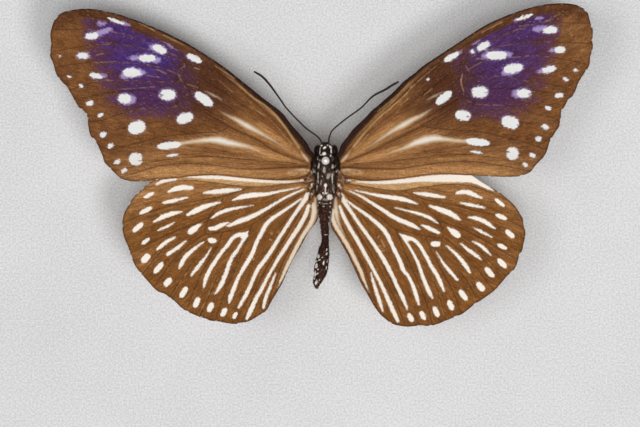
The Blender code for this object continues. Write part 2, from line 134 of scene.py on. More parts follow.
# Veins, each a route of points; the last route of a forewing's list is a cross vein
LEFT_FORE_VEINS = [
    [(-3.2, 1.2), (-8.2, 7), (-13.5, 11.6), (-19, 15.3), (-24.3, 17.4), (-31, 20.6), (-38, 22),
     (-45.3, 22.05)],
    [(-6, 4.2), (-12, 10.1), (-18, 15.1), (-25, 19), (-31, 21.9), (-36.5, 23.8), (-41, 24.4)],
    [(-24.3, 17.4), (-28.4, 18.4), (-32.6, 19.35), (-37.1, 19.6), (-39.9, 19.35), (-45.3, 18.4)],
    [(-24, 14.4), (-27.8, 15.8), (-32.6, 16.5), (-37.7, 16.6), (-41.2, 16.4), (-44.7, 15.8)],
    [(-24, 13.6), (-25.25, 13.3), (-29.7, 13.45), (-34.8, 13.6), (-39.3, 13.1), (-42.5, 12)],
    [(-22.9, 10.5), (-25, 9.3), (-27.5, 9.1), (-30, 8.95), (-32.5, 8.45), (-35, 7.75), (-37, 7),
     (-39.3, 6.7)],
    [(-3.6, 0.1), (-5.9, 0.8), (-8, 1.6), (-12, 4), (-15, 5.3), (-18, 7), (-22, 9.4), (-23.5, 10.7)],
    [(-16.3, 5.6), (-18, 5), (-20, 4.9), (-25, 4.5), (-28, 4.05), (-31, 3.25), (-35, 2.2), (-37.3, 1.7)],
    [(-3, -0.7), (-7.5, -0.95), (-12, -1.2), (-15, -1), (-20, -0.38), (-22, -0.27), (-25, -0.35),
     (-28, -0.75), (-32, -1.95), (-34.2, -2.5)],
    [(-24.3, 17.4), (-23.5, 16.2), (-24.6, 15), (-24, 13.6), (-23, 11.5), (-23.5, 10.7)],
]
RIGHT_FORE_VEINS = [
    [(3.2, 1.2), (7.6, 6.3), (13, 11.2), (19, 15.9), (25, 18.7), (31, 21.7), (37, 23.4), (40, 23.2),
     (44, 23.1)], [(6, 4.2), (12, 10.5), (18, 15.9), (25, 20.3), (31, 23.2), (36, 24.9), (40.5, 25.3)],
    [(24.4, 17.6), (28, 19), (30, 19.45), (35.2, 20), (40, 19.9), (44.3, 19.8)],
    [(23.6, 15.2), (25.9, 16.6), (28, 17.05), (32, 17.5), (35.2, 17.7), (40, 17.05), (43.5, 16.3)],
    [(23.4, 13.8), (25, 14.2), (28, 14.3), (30, 14.2), (33.9, 13.4), (37.6, 12.9), (41.6, 11.9)],
    [(22.6, 10.8), (25, 9.7), (30, 9.4), (32, 9), (34.9, 8.05), (37.6, 7.5), (38.9, 6.95)],
    [(3.6, 0.1), (5, 0.65), (7.6, 1.8), (10, 2.9), (14, 4.9), (18, 7.25), (20, 8.25), (22, 9.7),
     (23, 11.6)], [(16, 5.9), (20, 5.45), (25, 5.1), (27, 4.8), (32, 3.55), (34.4, 2.9), (36.3, 2.2)],
    [(2.9, -0.95), (9, -1.15), (12, -1.15), (15.9, -0.6), (20, 0), (24, 0.1), (28, -0.4), (34.1, -1.5)],
    [(24.4, 17.6), (23.2, 16.4), (24, 15), (23.4, 13.8), (23, 11.6)],
]
LEFT_HIND_VEINS = [
    [(-3.5, -3.4), (-5.9, -3.6), (-9.1, -4), (-11.4, -4.15), (-13.9, -4.07), (-17.1, -3.67), (-20, -3.27),
     (-23, -3.1), (-26, -3.3), (-28.5, -3.9), (-30.3, -4.5)],
    [(-12.5, -4.2), (-14.4, -4.8), (-15.7, -5.3), (-17.6, -5.8), (-20.8, -6.3), (-25.6, -7.3), (-28, -7.9),
     (-30.4, -8.7), (-33.4, -9.9)],
    [(-17.1, -6.1), (-18.4, -7.7), (-19.4, -9.2), (-20, -10.9), (-20, -12), (-19.2, -12)],
    [(-3.5, -5), (-6.1, -6.6), (-8.6, -8.1), (-10.8, -9.5), (-13.1, -10.9), (-15, -11.3), (-19.2, -12)],
    [(-19.4, -9.2), (-21.5, -10.2), (-24.5, -11.3), (-27.9, -12.9), (-30.8, -14.4), (-32.5, -15.2)],
    [(-20, -12), (-21.6, -13), (-24.4, -15.3), (-26.4, -17.7), (-28.5, -20.8)],
    [(-17.1, -11.7), (-18, -14), (-19.6, -16.7), (-21, -19.2), (-22.1, -21.8), (-23.1, -24.6)],
    [(-12.3, -10.6), (-13.1, -12.9), (-14, -15.3), (-15.1, -18), (-16.5, -21), (-17.6, -24),
     (-18.4, -26.4)],
    [(-3.2, -5.6), (-4.4, -8.6), (-6.3, -11.9), (-8.6, -15.6), (-10.2, -18.4), (-11.4, -20.8), (-12.7, -24),
     (-14, -26.7)],
    [(-2.6, -7.2), (-3, -9.5), (-5.2, -13.3), (-7, -16.6), (-8.2, -19.5), (-9.2, -22.5), (-9.6, -24.2)],
]
RIGHT_HIND_VEINS = [
    [(3.5, -3.6), (6, -4), (10, -4.65), (12.4, -4.8), (15.5, -4.3), (17.3, -4.05), (20, -3.75), (23, -3.75),
     (26, -4.5), (28.5, -5.5), (29.9, -6.1)],
    [(12.4, -4.8), (14, -5.2), (16, -6.05), (18, -6.5), (22, -7.35), (25, -8.1), (28, -8.8), (30.5, -9.7),
     (33, -10.9)], [(16.2, -6.5), (17.2, -7.9), (18.6, -9.4), (19.4, -10.8), (19.7, -12), (19.4, -12.8)],
    [(3.2, -5.2), (5.5, -6.6), (8.2, -8.5), (10, -9.8), (11.2, -11), (14, -11.7), (16, -12.2),
     (19.4, -12.8)], [(19, -9.9), (21.3, -10.6), (24, -11.7), (27.5, -13.6), (30.3, -15.3), (32.2, -16.3)],
    [(19.8, -12.4), (21.3, -13.8), (23.5, -15.8), (25.6, -18.2), (27.2, -20.2), (28.1, -21.3)],
    [(16.6, -12.4), (17.8, -15), (19.2, -17.6), (20.5, -20), (21.6, -22.4), (22.7, -25.2)],
    [(11.7, -11.2), (12.6, -13.4), (13.6, -15.8), (14.8, -18.6), (16, -21.2), (17, -24), (17.8, -27)],
    [(2.9, -6.2), (3.9, -9), (5.6, -12), (7.6, -15.2), (9.4, -18.2), (10.8, -21), (12.1, -24),
     (13.2, -27.1)],
    [(2.1, -7.6), (2.3, -9.6), (4.2, -13.2), (6, -16.6), (7.2, -19.6), (8.1, -22.6), (8.7, -24.5)],
]

# Golden ridges near the roots of both forewings, with x counted outwards and a half width at each point
GOLD_RIDGES = [
    [(3, 1, 0.2), (5.5, 4.5, 0.3), (9, 8.3, 0.25), (13, 11.4, 0.1)],
    [(3.6, 0.5, 0.15), (7, 3.1, 0.35), (11, 6.2, 0.4)], [(3.6, -0.3, 0.1), (7, 0.6, 0.3), (12, 2.3, 0.3)],
    [(6, -1.9, 0.3), (12, -2.1, 0.5), (20, -1.5, 0.5), (30, -2, 0.3)],
]
# Thin creases between the veins
LEFT_FORE_FOLDS = [
    [(-5, -0.2), (-9, 0.1), (-14, 0.5), (-19, 0.95), (-24, 0.7), (-29, 0), (-33.5, -1.2)],
    [(-14, 5.6), (-18.5, 8), (-22.5, 10.2)], [(-12, 8.3), (-16, 11), (-20, 13.5)],
    [(-26, 11.6), (-31, 11.9), (-36, 11.6), (-40.5, 10.6)], [(-27, 6.8), (-31, 6.3), (-35, 5.3)],
]
RIGHT_FORE_FOLDS = [
    [(5, -0.3), (9, 0), (14, 0.5), (19, 1.2), (24, 1.2), (29, 0.6), (33.5, -0.4)],
    [(14, 5.7), (18, 8.1), (22, 10.5)], [(12, 8.2), (16, 11.2), (20, 14)],
    [(26, 12.2), (31, 12.3), (36, 11.8), (40, 11)], [(26, 7.5), (31, 7), (35, 6.2)],
]
LEFT_HIND_FOLDS = [
    [(-26.6, -14), (-28.3, -15.9), (-30.6, -18.8)], [(-22.6, -17.4), (-24.2, -19.7), (-26, -22.5)],
    [(-18, -19), (-19.1, -21.7), (-21, -25.8)], [(-10, -17), (-11.6, -20.2), (-13.2, -23.4)],
]
RIGHT_HIND_FOLDS = [
    [(26, -15), (27.8, -17), (30.2, -19.1)], [(22.6, -18.4), (24.2, -20.8), (25.4, -23.3)],
    [(18, -19.6), (19, -22.4), (20.2, -26.2)], [(9.6, -17), (11.4, -20.4), (13, -24)],
]

# Marks. A dot is x, y, half length, half width and angle in degrees. A streak's points are x, y, half width.
LEFT_FORE_DOTS = [
    (-34.9, 23.5, 1.5, 0.22, -20), (-38.9, 21, 1.1, 0.52, 5), (-40.4, 17.7, 0.9, 0.5, 0),
    (-38.24, 14.37, 1.05, 0.4, -12), (-42.64, 14.2, 0.32, 0.18, 0), (-40.7, 12.7, 0.42, 0.28, 0),
    (-39.25, 9.8, 0.6, 0.4, 10), (-29.66, 17.3, 1.35, 0.6, 0), (-27.6, 18.8, 1.2, 0.58, -25),
    (-21.85, 17.25, 1.32, 0.5, -27), (-32.3, 14.9, 1.4, 0.72, 0), (-31.3, 14.75, 0.75, 0.3, -8),
    (-26.3, 11.2, 1.3, 0.88, 0), (-33.46, 10.57, 1.05, 0.78, 0), (-37.5, 7.8, 0.52, 0.3, 30),
    (-37.07, 4.6, 0.6, 0.4, 20), (-35.8, 2.7, 0.5, 0.35, 35), (-34.7, 0, 0.55, 0.32, 30),
    (-33.56, -1.4, 0.5, 0.34, 35), (-31.43, 5.74, 1.45, 1.05, 15), (-23.4, 7.3, 1.4, 0.82, 20),
    (-31.6, 0.48, 1.08, 1, 0), (-26.06, 2.75, 2, 0.58, 6), (-25.5, 1.15, 1, 0.2, 10),
    (-20.27, 10.48, 1.75, 0.74, -35), (-44.2, 17.6, 0.16, 0.12, 0),
]
RIGHT_FORE_DOTS = [
    (33.2, 24.15, 1.5, 0.25, 19), (37.5, 22, 1.2, 0.55, 6), (39.1, 18.7, 0.9, 0.52, 0),
    (37.3, 15.45, 1.15, 0.52, 12), (41.7, 15.3, 0.4, 0.22, -15), (40.05, 13.8, 0.5, 0.25, -25),
    (38.97, 11.1, 0.72, 0.38, 0), (28.5, 17.8, 1.7, 0.68, 0), (26.3, 19.3, 1.15, 0.56, 28),
    (21, 17.5, 1.4, 0.45, 30), (31.3, 15.6, 1.6, 0.72, 10), (25.74, 11.65, 1.35, 0.88, 0),
    (33.1, 11.45, 1.15, 0.72, 0), (37.1, 9, 0.55, 0.3, -20), (36.67, 5.85, 0.58, 0.38, -20),
    (35.5, 3.85, 0.5, 0.38, 0), (34.5, 1.1, 0.55, 0.33, -20), (33.35, -0.48, 0.5, 0.3, -30),
    (30.8, 6.6, 1.45, 0.98, -15), (22.9, 7.75, 1.25, 0.82, -12), (31.2, 1.4, 0.98, 1.02, 0),
    (25.4, 3.33, 2, 0.58, -6), (25.2, 1.65, 1.05, 0.2, -8), (19.75, 10.7, 1.58, 0.66, 38),
    (17.1, 13.8, 0.22, 0.18, 0), (24.5, 18.4, 0.3, 0.28, 0),
]
# Notches bitten out of the spots
LEFT_FORE_NOTCHES = [
    (-27.5, 11.15, 0.5, 0.16, 0), (-30.65, 0.25, 0.5, 0.14, 10), (-22.1, 7, 0.35, 0.12, 10),
    (-32.8, 6.2, 0.3, 0.12, 20),
]
RIGHT_FORE_NOTCHES = [
    (26.9, 11.6, 0.4, 0.14, 0), (30.35, 1.7, 0.45, 0.14, -10), (23.95, 7.6, 0.4, 0.14, 0),
    (32.1, 6.2, 0.35, 0.12, -20), (34.1, 11.3, 0.35, 0.13, 0),
]
LEFT_FORE_STREAKS = [
    [(-24.6, 3, 0.3), (-22, 3.42, 0.34), (-19.2, 3.7, 0.55), (-17.6, 3.6, 0.7), (-16, 3.2, 0.62),
     (-13.1, 2.6, 0.36), (-11.4, 2, 0.14), (-9.9, 1.3, -0.02), (-8.3, 0.9, -0.15), (-6.5, 0.4, -0.3)],
    [(-17.8, 8.6, -0.05), (-16, 7.6, 0.2), (-14.6, 6.9, 0.42), (-13, 6, 0.55), (-11.5, 5.2, 0.42),
     (-9.9, 4.3, 0.28), (-8.3, 3.35, 0.15), (-6.6, 2.2, 0.02), (-4.6, 0.9, -0.15)],
    [(-20.1, 11.85, 0), (-18.7, 11.15, 0.2), (-17.3, 10.4, 0.05)],
]
RIGHT_FORE_STREAKS = [
    [(23.8, 3.45, 0.3), (22, 3.55, 0.32), (20, 3.8, 0.42), (18.3, 3.95, 0.65), (16.7, 3.7, 0.72),
     (15.1, 3.2, 0.6), (13.5, 2.5, 0.36), (12, 1.95, 0.18), (10, 1.2, 0), (8, 0.65, -0.12), (6, 0.1, -0.3)],
    [(18, 9.1, -0.05), (17, 8.4, 0.15), (15.9, 7.7, 0.3), (14.5, 7.05, 0.45), (13, 6.2, 0.55),
     (11.4, 5.3, 0.4), (10, 4.4, 0.28), (8.4, 3.3, 0.16), (6.8, 2.3, 0.02), (4.6, 1.1, -0.15)],
    [(17, 10.4, 0.05), (18.3, 11.05, 0.18), (19.6, 11.7, 0)],
]
# Faint tan lines and flecks
LEFT_FORE_LINES = [
    [(-17.1, 14.7, 0), (-14.6, 12.95, 0.08), (-12.3, 10.9, 0.1), (-10.3, 9.6, 0.12), (-8.2, 7.7, 0.16),
     (-6.6, 5.6, 0.16), (-4.4, 2.4, 0.2)], [(-28.2, 15.45, 0.06), (-26.5, 14.7, 0.06)],
    [(-29.9, 14.4, 0.03), (-27.7, 14.15, 0.03)], [(-23, 13, 0.05), (-21.3, 12.4, 0.05)],
    [(-12.7, 9.4, 0.03), (-10.1, 7.7, 0.06)], [(-21.9, 15.7, 0.06), (-20.9, 15.5, 0.06)],
    [(-38.2, 17.8, 0.05), (-37, 18.1, 0.05)], [(-37.1, 19.95, 0.03), (-35.7, 19.8, 0.03)],
    [(-40, 16.45, 0), (-35, 16.75, 0.03)], [(-40, 13.2, 0), (-35.7, 13.75, 0.03)],
    [(-34.7, 12.1, 0), (-28.5, 12.5, 0.02)], [(-3.7, 1.2, 0.16), (-3, 0.3, 0.14)],
    [(-14.2, 0.7, 0.06), (-12.9, 0.6, 0.03)], [(-36.2, 22.2, 0.1), (-35.5, 21.8, 0.1)],
    [(-18.2, 14, 0.02), (-15.4, 11.6, 0.02)], [(-8, 5.8, 0.02), (-5.6, 3, 0.05)],
    [(-31, 23.1, 0.04), (-28.4, 21.9, 0.08)], [(-27, 21.2, 0.08), (-23.6, 19.5, 0.05)],
    [(-18.4, 16.1, 0.06), (-15.2, 13.9, 0.08)],
]
RIGHT_FORE_LINES = [
    [(4.7, 2.6, 0.2), (6.8, 5.2, 0.16), (9, 7.45, 0.16), (11.1, 9.2, 0.12), (13.2, 11.1, 0.1),
     (15.1, 13.1, 0.08), (18.8, 16.3, 0)], [(8.7, 8.4, 0.06), (11.9, 11.1, 0.06), (14.6, 13.6, 0)],
    [(32.3, 22.65, 0.06), (34.6, 22.9, 0.03)], [(32.5, 22.2, 0.06), (33, 22.2, 0.05)],
    [(22.85, 14.65, 0.08), (22.6, 13.4, 0.1), (23, 11.9, 0.06)], [(37.3, 24, -0.02), (40.8, 25.2, -0.02)],
    [(25.3, 17.25, 0.08), (26.3, 17.25, 0.08)], [(16.4, 11.1, 0.06), (17.8, 12.3, 0.06)],
    [(12.5, 9.45, 0.06), (13.75, 10.6, 0.06)], [(13.9, 12.5, 0.03), (15, 13.05, 0.03)],
    [(3.6, 1, 0.18), (2.6, 0, 0.16)], [(38.5, 20.6, 0.08), (38.8, 20.6, 0.08)],
    [(11.9, 8.3, 0.08), (12.2, 8.3, 0.08)], [(7.2, 4.6, 0.02), (5, 2.2, 0.05)],
    [(35.6, 23.3, 0), (37.4, 23.7, 0.04), (39, 24.7, 0)], [(42.6, 18.3, 0.03), (41.8, 17, 0.02)],
    [(26, 21.6, 0.06), (29.4, 23.3, 0.08)], [(40.8, 21.6, 0.01), (41.2, 20.8, 0.03)],
]
LEFT_FORE_LILAC = [
    (-33.4, 23.1, 0.9, 0.25, -20), (-37.3, 23.1, 0.7, 0.33, 0), (-37.3, 21.6, 1.9, 0.45, 22),
    (-31.2, 17.35, 1.6, 0.4, 0), (-28.3, 17, 0.9, 0.45, 0), (-28.6, 19, 0.8, 0.5, -20),
    (-25.8, 19.3, 1.4, 0.13, -33), (-33.2, 14.6, 1, 0.6, 30), (-37.1, 14.3, 0.7, 0.3, 0),
    (-40.4, 17.7, 1.1, 0.55, 0), (-32.9, 10.4, 1.3, 0.8, 0), (-31.6, 15.1, 1.7, 0.5, -10),
]
RIGHT_FORE_LILAC = [
    (32, 23.7, 0.8, 0.2, 19), (35.6, 23.94, 0.75, 0.22, 5), (35.8, 22.2, 1.3, 0.48, 5),
    (30, 17.9, 1.1, 0.5, 0), (27.2, 17.7, 1.1, 0.5, 0), (25.1, 19.9, 0.85, 0.11, 30),
    (30.7, 15, 1.35, 0.55, 8), (36.2, 15.2, 0.9, 0.35, 8), (38.1, 18.6, 0.8, 0.35, 0),
    (22.3, 18.3, 0.4, 0.25, 30), (32.4, 11.4, 1.3, 0.7, 0),
]
# Painted highlights along the pinkish edges at the roots of both forewings, with x counted outwards
ROOT_EDGE_HIGHLIGHTS = [
    [(4.1, 1.75, 0.05), (3.5, 0.95, 0.24), (2.9, 0.2, 0.2)],
    [(2.7, -1.45, 0.1), (3.6, -1.25, 0.16), (5, -1.3, 0.05)],
]

LEFT_HIND_DOTS = [
    (-29.47, -5.53, 0.95, 0.3, 27), (-29.95, -8.06, 1.2, 0.35, 27), (-31.3, -10.9, 1.15, 0.4, 40),
    (-30, -13.2, 0.85, 0.3, 37), (-30, -16.06, 0.9, 0.55, 45), (-27.85, -17.66, 1.15, 0.45, 50),
    (-26.3, -20.03, 0.85, 0.5, 50), (-23.64, -21.7, 1.05, 0.45, 57), (-21.5, -23.43, 0.95, 0.45, 65),
    (-19.2, -24.23, 0.85, 0.45, 68), (-16.96, -25.08, 0.8, 0.42, 60), (-15.1, -25.6, 0.65, 0.32, 60),
    (-22.1, -11.3, 1, 0.5, 35), (-18.9, -13.1, 0.75, 0.42, -10), (-13.7, -12.35, 0.55, 0.42, 35),
]
RIGHT_HIND_DOTS = [
    (29.1, -6.75, 1.05, 0.3, -38), (29.36, -9.13, 1.05, 0.35, -22), (30.8, -12, 0.95, 0.4, -40),
    (29.5, -14.1, 0.9, 0.32, -25), (29.5, -16.9, 1, 0.45, -45), (27.4, -18.4, 1.1, 0.45, -48),
    (25.9, -20.8, 0.9, 0.5, -50), (23, -22.2, 1.05, 0.45, -55), (20.9, -23.9, 0.9, 0.45, -65),
    (18.5, -25, 0.95, 0.42, -65), (16.25, -25.6, 0.8, 0.4, -62), (14.2, -25.95, 0.8, 0.42, -60),
    (21.7, -11.9, 1, 0.52, -38), (18.4, -13.67, 0.8, 0.46, 0), (13.6, -12.75, 0.5, 0.4, -35),
]
LEFT_HIND_STREAKS = [
    [(-28.3, -3.75, 0.15), (-27, -3.15, 0.3), (-25.1, -2.8, 0.3)],
    [(-26.3, -5, 0.15), (-25, -4.45, 0.4), (-23.7, -4.25, 0.42), (-22.3, -4.3, 0.3)],
    [(-27, -6.75, 0.2), (-25.6, -6.5, 0.32), (-23.05, -5.9, 0.12)],
    [(-28.7, -10, 0.12), (-27.2, -9.2, 0.38), (-25.6, -8.6, 0.35), (-24, -8.3, 0.12)],
    [(-27.95, -11.4, 0.12), (-26.6, -10.8, 0.22), (-25.2, -10.1, 0.08)],
    [(-28, -14.55, 0.22), (-26.6, -13.35, 0.32), (-25, -12.5, 0.1)],
    [(-26.35, -15.4, 0.28), (-24.7, -14.3, 0.3), (-23.2, -13.1, 0.1)],
    [(-20.3, -5.15, 0.15), (-18.5, -4.95, 0.38), (-16.4, -4.75, 0.4), (-14.1, -4.55, 0.12)],
    [(-23, -8.8, 0.2), (-21.6, -8.1, 0.45), (-20, -7.4, 0.38), (-17.6, -6.7, 0.14)],
    [(-21.6, -10.9, 0.4), (-20.7, -10.3, 0.08)],
    [(-15.5, -6.4, 0.1), (-13.9, -5.8, 0.38), (-12, -5.5, 0.42), (-9.9, -5.35, 0.28), (-8, -4.95, 0.18),
     (-5.9, -4.55, 0.12), (-4.3, -4.2, 0.06)],
    [(-19.05, -9.4, 0.1), (-17.9, -8.6, 0.25), (-16.3, -8, 0.28), (-14.4, -7.6, 0.18), (-12, -7.2, 0.04)],
    [(-19.2, -11.1, 0.3), (-18.3, -11, 0.38), (-17.3, -10.5, 0.34), (-16.2, -10.1, 0.1)],
    [(-16.2, -10.65, 0.2), (-14.4, -9.9, 0.38), (-12.8, -9.3, 0.36), (-11.2, -8.55, 0.3),
     (-8.85, -7.2, 0.22), (-7, -6.1, 0.2), (-5.4, -5.3, 0.18), (-3.6, -4.5, 0.1)],
    [(-12.8, -11.55, 0.06), (-13.3, -12, 0.3), (-14.4, -12.1, 0.32), (-15.5, -12.7, 0.28),
     (-16.3, -13.8, 0.28), (-17.6, -15.4, 0.28), (-18.6, -16.9, 0.3), (-19.4, -18.2, 0.3),
     (-20, -19.6, 0.32), (-20.3, -20.95, 0.12)],
    [(-13.2, -12.2, 0.3), (-13.9, -13.35, 0.22), (-14.9, -14.95, 0.26), (-15.75, -16.2, 0.28),
     (-16.5, -18.3, 0.32), (-17.1, -19.8, 0.33), (-17.6, -20.8, 0.33), (-18.4, -22, 0.12)],
    [(-20.25, -13.3, 0.08), (-21.3, -14, 0.18), (-22.4, -14.9, 0.28), (-23.4, -15.9, 0.34),
     (-24, -16.9, 0.33), (-24.4, -17.7, 0.14)],
    [(-19.05, -14.3, 0.08), (-19.85, -15.6, 0.16), (-20.65, -16.7, 0.26), (-21.5, -17.8, 0.3),
     (-22.4, -18.9, 0.16)],
    [(-4, -6.1, 0.12), (-5.5, -7.15, 0.2), (-7.5, -8.5, 0.24), (-8.85, -9.4, 0.3), (-9.95, -10.5, 0.34),
     (-10.7, -11.9, 0.32), (-11.5, -13.4, 0.3), (-12.05, -14.9, 0.32), (-12.9, -16.5, 0.34),
     (-13.6, -17.6, 0.3), (-14.4, -19, 0.24), (-15.2, -20.9, 0.32), (-15.9, -22.7, 0.34),
     (-16.1, -23.5, 0.12)],
    [(-2.9, -5.35, 0.4), (-3.7, -6.7, 0.34), (-5.2, -8.8, 0.27), (-6.5, -10.8, 0.27), (-7.7, -12.6, 0.28),
     (-8.85, -14.5, 0.3), (-10.1, -16.3, 0.32), (-11.1, -17.6, 0.34), (-11.9, -19.1, 0.28),
     (-12.6, -20.8, 0.28), (-13.4, -22.4, 0.32), (-14.5, -24.3, 0.18)],
    [(-2.8, -7.3, 0.28), (-3.3, -8.8, 0.34), (-4.4, -10.8, 0.34), (-5.65, -12.7, 0.32), (-6.8, -14.5, 0.32),
     (-7.9, -16.2, 0.28), (-8.85, -17.85, 0.22), (-9.8, -19.5, 0.24), (-10.65, -21.2, 0.28),
     (-11.6, -22.85, 0.32), (-12.5, -24.8, 0.38), (-13.1, -26.05, 0.25)],
    [(-8.3, -18.5, 0.08), (-8.85, -19.9, 0.2), (-9.4, -21.3, 0.26), (-10, -22.8, 0.28),
     (-10.35, -24.3, 0.2)],
]
RIGHT_HIND_STREAKS = [
    [(22, -5.15, 0.25), (23.3, -4.95, 0.36), (24.4, -5.25, 0.4), (26.05, -6, 0.14)],
    [(22.5, -6.8, 0.1), (24.05, -7.1, 0.28), (26.55, -7.6, 0.16)],
    [(23.8, -9.2, 0.1), (25.2, -9.4, 0.32), (26.5, -9.9, 0.34), (27.6, -10.6, 0.28), (28.4, -11.1, 0.1)],
    [(24.7, -10.9, 0.06), (26, -11.6, 0.22), (27.8, -12.5, 0.12)],
    [(24.55, -13.2, 0.08), (25.7, -13.8, 0.25), (26.8, -14.7, 0.25), (27.6, -15.5, 0.1)],
    [(22.6, -13.6, 0.12), (24.05, -14.8, 0.28), (25.2, -15.6, 0.28), (26.05, -16.3, 0.1)],
    [(14.8, -5.15, 0.12), (16.9, -5.4, 0.35), (18.5, -5.65, 0.32), (20, -5.9, 0.12)],
    [(17.4, -7.3, 0.15), (19.1, -7.9, 0.4), (20.7, -8.5, 0.45), (21.8, -9.2, 0.35), (22.6, -9.7, 0.1)],
    [(21.2, -11.5, 0.4), (20.4, -10.9, 0.08)],
    [(5, -4.7, 0.08), (7.1, -5.2, 0.16), (9, -5.6, 0.26), (11.1, -5.9, 0.34), (12.7, -6.15, 0.36),
     (14.3, -6.6, 0.26), (15.4, -7, 0.06)],
    [(11.6, -7.6, 0.06), (14.8, -8.4, 0.2), (16.2, -8.8, 0.25), (17.5, -9.35, 0.24), (18.75, -10.2, 0.1)],
    [(16.05, -10.5, 0.1), (17.2, -11, 0.34), (18.8, -11.75, 0.28)],
    [(4, -4.8, 0.1), (6.1, -5.8, 0.18), (8, -7, 0.24), (9.7, -8.05, 0.3), (11.1, -9, 0.32),
     (12.6, -9.75, 0.36), (14.4, -10.5, 0.36), (15.7, -11.2, 0.14)],
    [(12.35, -11.95, 0.06), (13.1, -12.45, 0.32), (14.6, -12.9, 0.3), (15.55, -13.7, 0.28),
     (16.7, -15.5, 0.26), (17.8, -17.6, 0.3), (18.6, -18.85, 0.3), (19.3, -20.3, 0.32),
     (19.8, -21.5, 0.14)],
    [(13.1, -12.6, 0.3), (13.8, -13.8, 0.18), (14.7, -15.3, 0.22), (15.55, -17.1, 0.26),
     (16.4, -19.5, 0.28), (17.3, -21.6, 0.34), (17.9, -22.7, 0.14)],
    [(20.2, -14, 0.1), (21.2, -14.8, 0.2), (22.3, -15.9, 0.28), (23.3, -17.1, 0.34), (24.1, -18.4, 0.2)],
    [(18.5, -14.95, 0.06), (19.5, -16.6, 0.18), (20.6, -18, 0.28), (22, -19.6, 0.22)],
    [(3.4, -6.3, 0.12), (5, -7.5, 0.2), (6.6, -8.6, 0.25), (8.25, -9.9, 0.3), (9.55, -11.1, 0.34),
     (10.4, -12.3, 0.34), (11.1, -13.8, 0.3), (11.8, -15.2, 0.32), (12.5, -16.6, 0.34), (13, -18, 0.34),
     (13.8, -19, 0.24), (14.6, -20.6, 0.28), (15.1, -22.05, 0.34), (15.6, -23.8, 0.16)],
    [(2.6, -5.6, 0.4), (3.4, -7, 0.32), (4.5, -8.6, 0.26), (5.7, -10.4, 0.27), (7.1, -12.3, 0.28),
     (8.5, -14.3, 0.3), (9.7, -16.2, 0.34), (10.6, -17.8, 0.34), (11.3, -19.2, 0.28), (12, -20.8, 0.3),
     (12.9, -22.6, 0.34), (13.7, -24.6, 0.14)],
    [(2.4, -7.4, 0.2), (3, -9, 0.3), (4.2, -11.2, 0.3), (5.3, -13, 0.32), (6.3, -14.8, 0.3),
     (7.3, -16.6, 0.28), (8, -17.9, 0.25), (8.8, -19.4, 0.25), (9.6, -21, 0.28), (10.4, -22.8, 0.32),
     (11.2, -24.6, 0.36), (12.1, -26.5, 0.26)],
    [(7.6, -18.5, 0.1), (8, -20, 0.22), (8.5, -21.6, 0.28), (9.1, -23.4, 0.3), (9.6, -24.9, 0.12)],
]
# The cream line along each inner margin and the white one along the front, half under the forewing
LEFT_HIND_CREAM = [
    [(-2.05, -7, 0.2), (-2.05, -8.8, 0.28), (-2.45, -10.2, 0.3), (-3.6, -12, 0.28), (-4.7, -14, 0.3),
     (-5.65, -15.9, 0.3), (-6.5, -17.6, 0.28), (-7.3, -19.4, 0.2), (-8, -21, 0)],
    [(-23.5, -2.45, 0.1), (-20, -2.5, 0.28), (-18, -2.55, 0.3), (-15, -2.82, 0.28), (-12, -3.08, 0.24),
     (-9.1, -3.26, 0.2), (-5.9, -3.3, 0.16), (-4.5, -3.15, 0.05)],
]
RIGHT_HIND_CREAM = [
    [(1.25, -8, 0.25), (1.25, -9.5, 0.3), (1.8, -10.8, 0.3), (2.9, -12.6, 0.28), (4.1, -14.6, 0.3),
     (5, -16.4, 0.3), (5.8, -18, 0.28), (6.4, -19.6, 0.22), (7, -21, 0.1), (7.3, -21.8, 0)],
    [(5.2, -3.27, 0.1), (8, -3.4, 0.22), (10, -3.4, 0.25), (12, -3.25, 0.32), (14, -3.05, 0.36),
     (16, -2.85, 0.42), (18, -2.75, 0.55), (20, -2.7, 0.62), (22, -2.7, 0.64), (24.1, -2.8, 0.6),
     (25, -3.1, 0.5), (26.95, -4.15, 0.3), (28.1, -4.8, 0.06)],
]
LEFT_HIND_LINES = [
    [(-9.3, -9.05, 0.1), (-9.1, -9.1, 0.1)], [(-7.9, -11.7, 0.1), (-7.7, -11.7, 0.1)],
    [(-9.1, -11.8, 0.12), (-8.9, -12, 0.12)], [(-9.3, -12.9, 0.12), (-9, -13, 0.12)],
    [(-12.1, -16.2, 0.1), (-11.9, -16.2, 0.1)], [(-10.1, -17.2, 0.03), (-11.4, -20, 0.03)],
    [(-3.1, -3.95, 0.08), (-4.6, -4.25, 0.1)], [(-2.9, -4.4, 0.1), (-4.3, -5, 0.1)],
    [(-2.9, -5.1, 0.1), (-4.2, -6.3, 0.12)],
]
RIGHT_HIND_LINES = [
    [(8.8, -12.6, 0.12), (8.9, -12.4, 0.12)], [(9.3, -13, 0.1), (9.9, -14.1, 0.12)],
    [(8.8, -14, 0.08), (9.2, -14.05, 0.08)], [(9.4, -14.4, 0.08), (9.6, -14.45, 0.08)],
    [(9.6, -14.8, 0.13), (9.8, -14.8, 0.13)], [(17.6, -24.6, 0), (17.9, -26.4, 0.04)],
    [(20.3, -22.2, 0), (20.9, -23.4, 0.04)], [(3.1, -4.2, 0.08), (5, -4.7, 0.1)],
    [(2.8, -4.4, 0.1), (4.2, -5, 0.1)], [(2.7, -5.1, 0.1), (3.6, -6.4, 0.12)],
    [(24.6, -18.9, 0), (25.3, -20.2, 0.06)], [(21.8, -20.2, 0), (23.1, -21.4, 0.05)],
]
# The cream field beside the body on both hindwings, with x counted outwards
ANAL_CREAM = [[(1.7, -6, 0.3), (1.8, -8.4, 0.6), (2.2, -10.2, 0.4), (3.4, -12.8, 0.1)]]


# Small tools

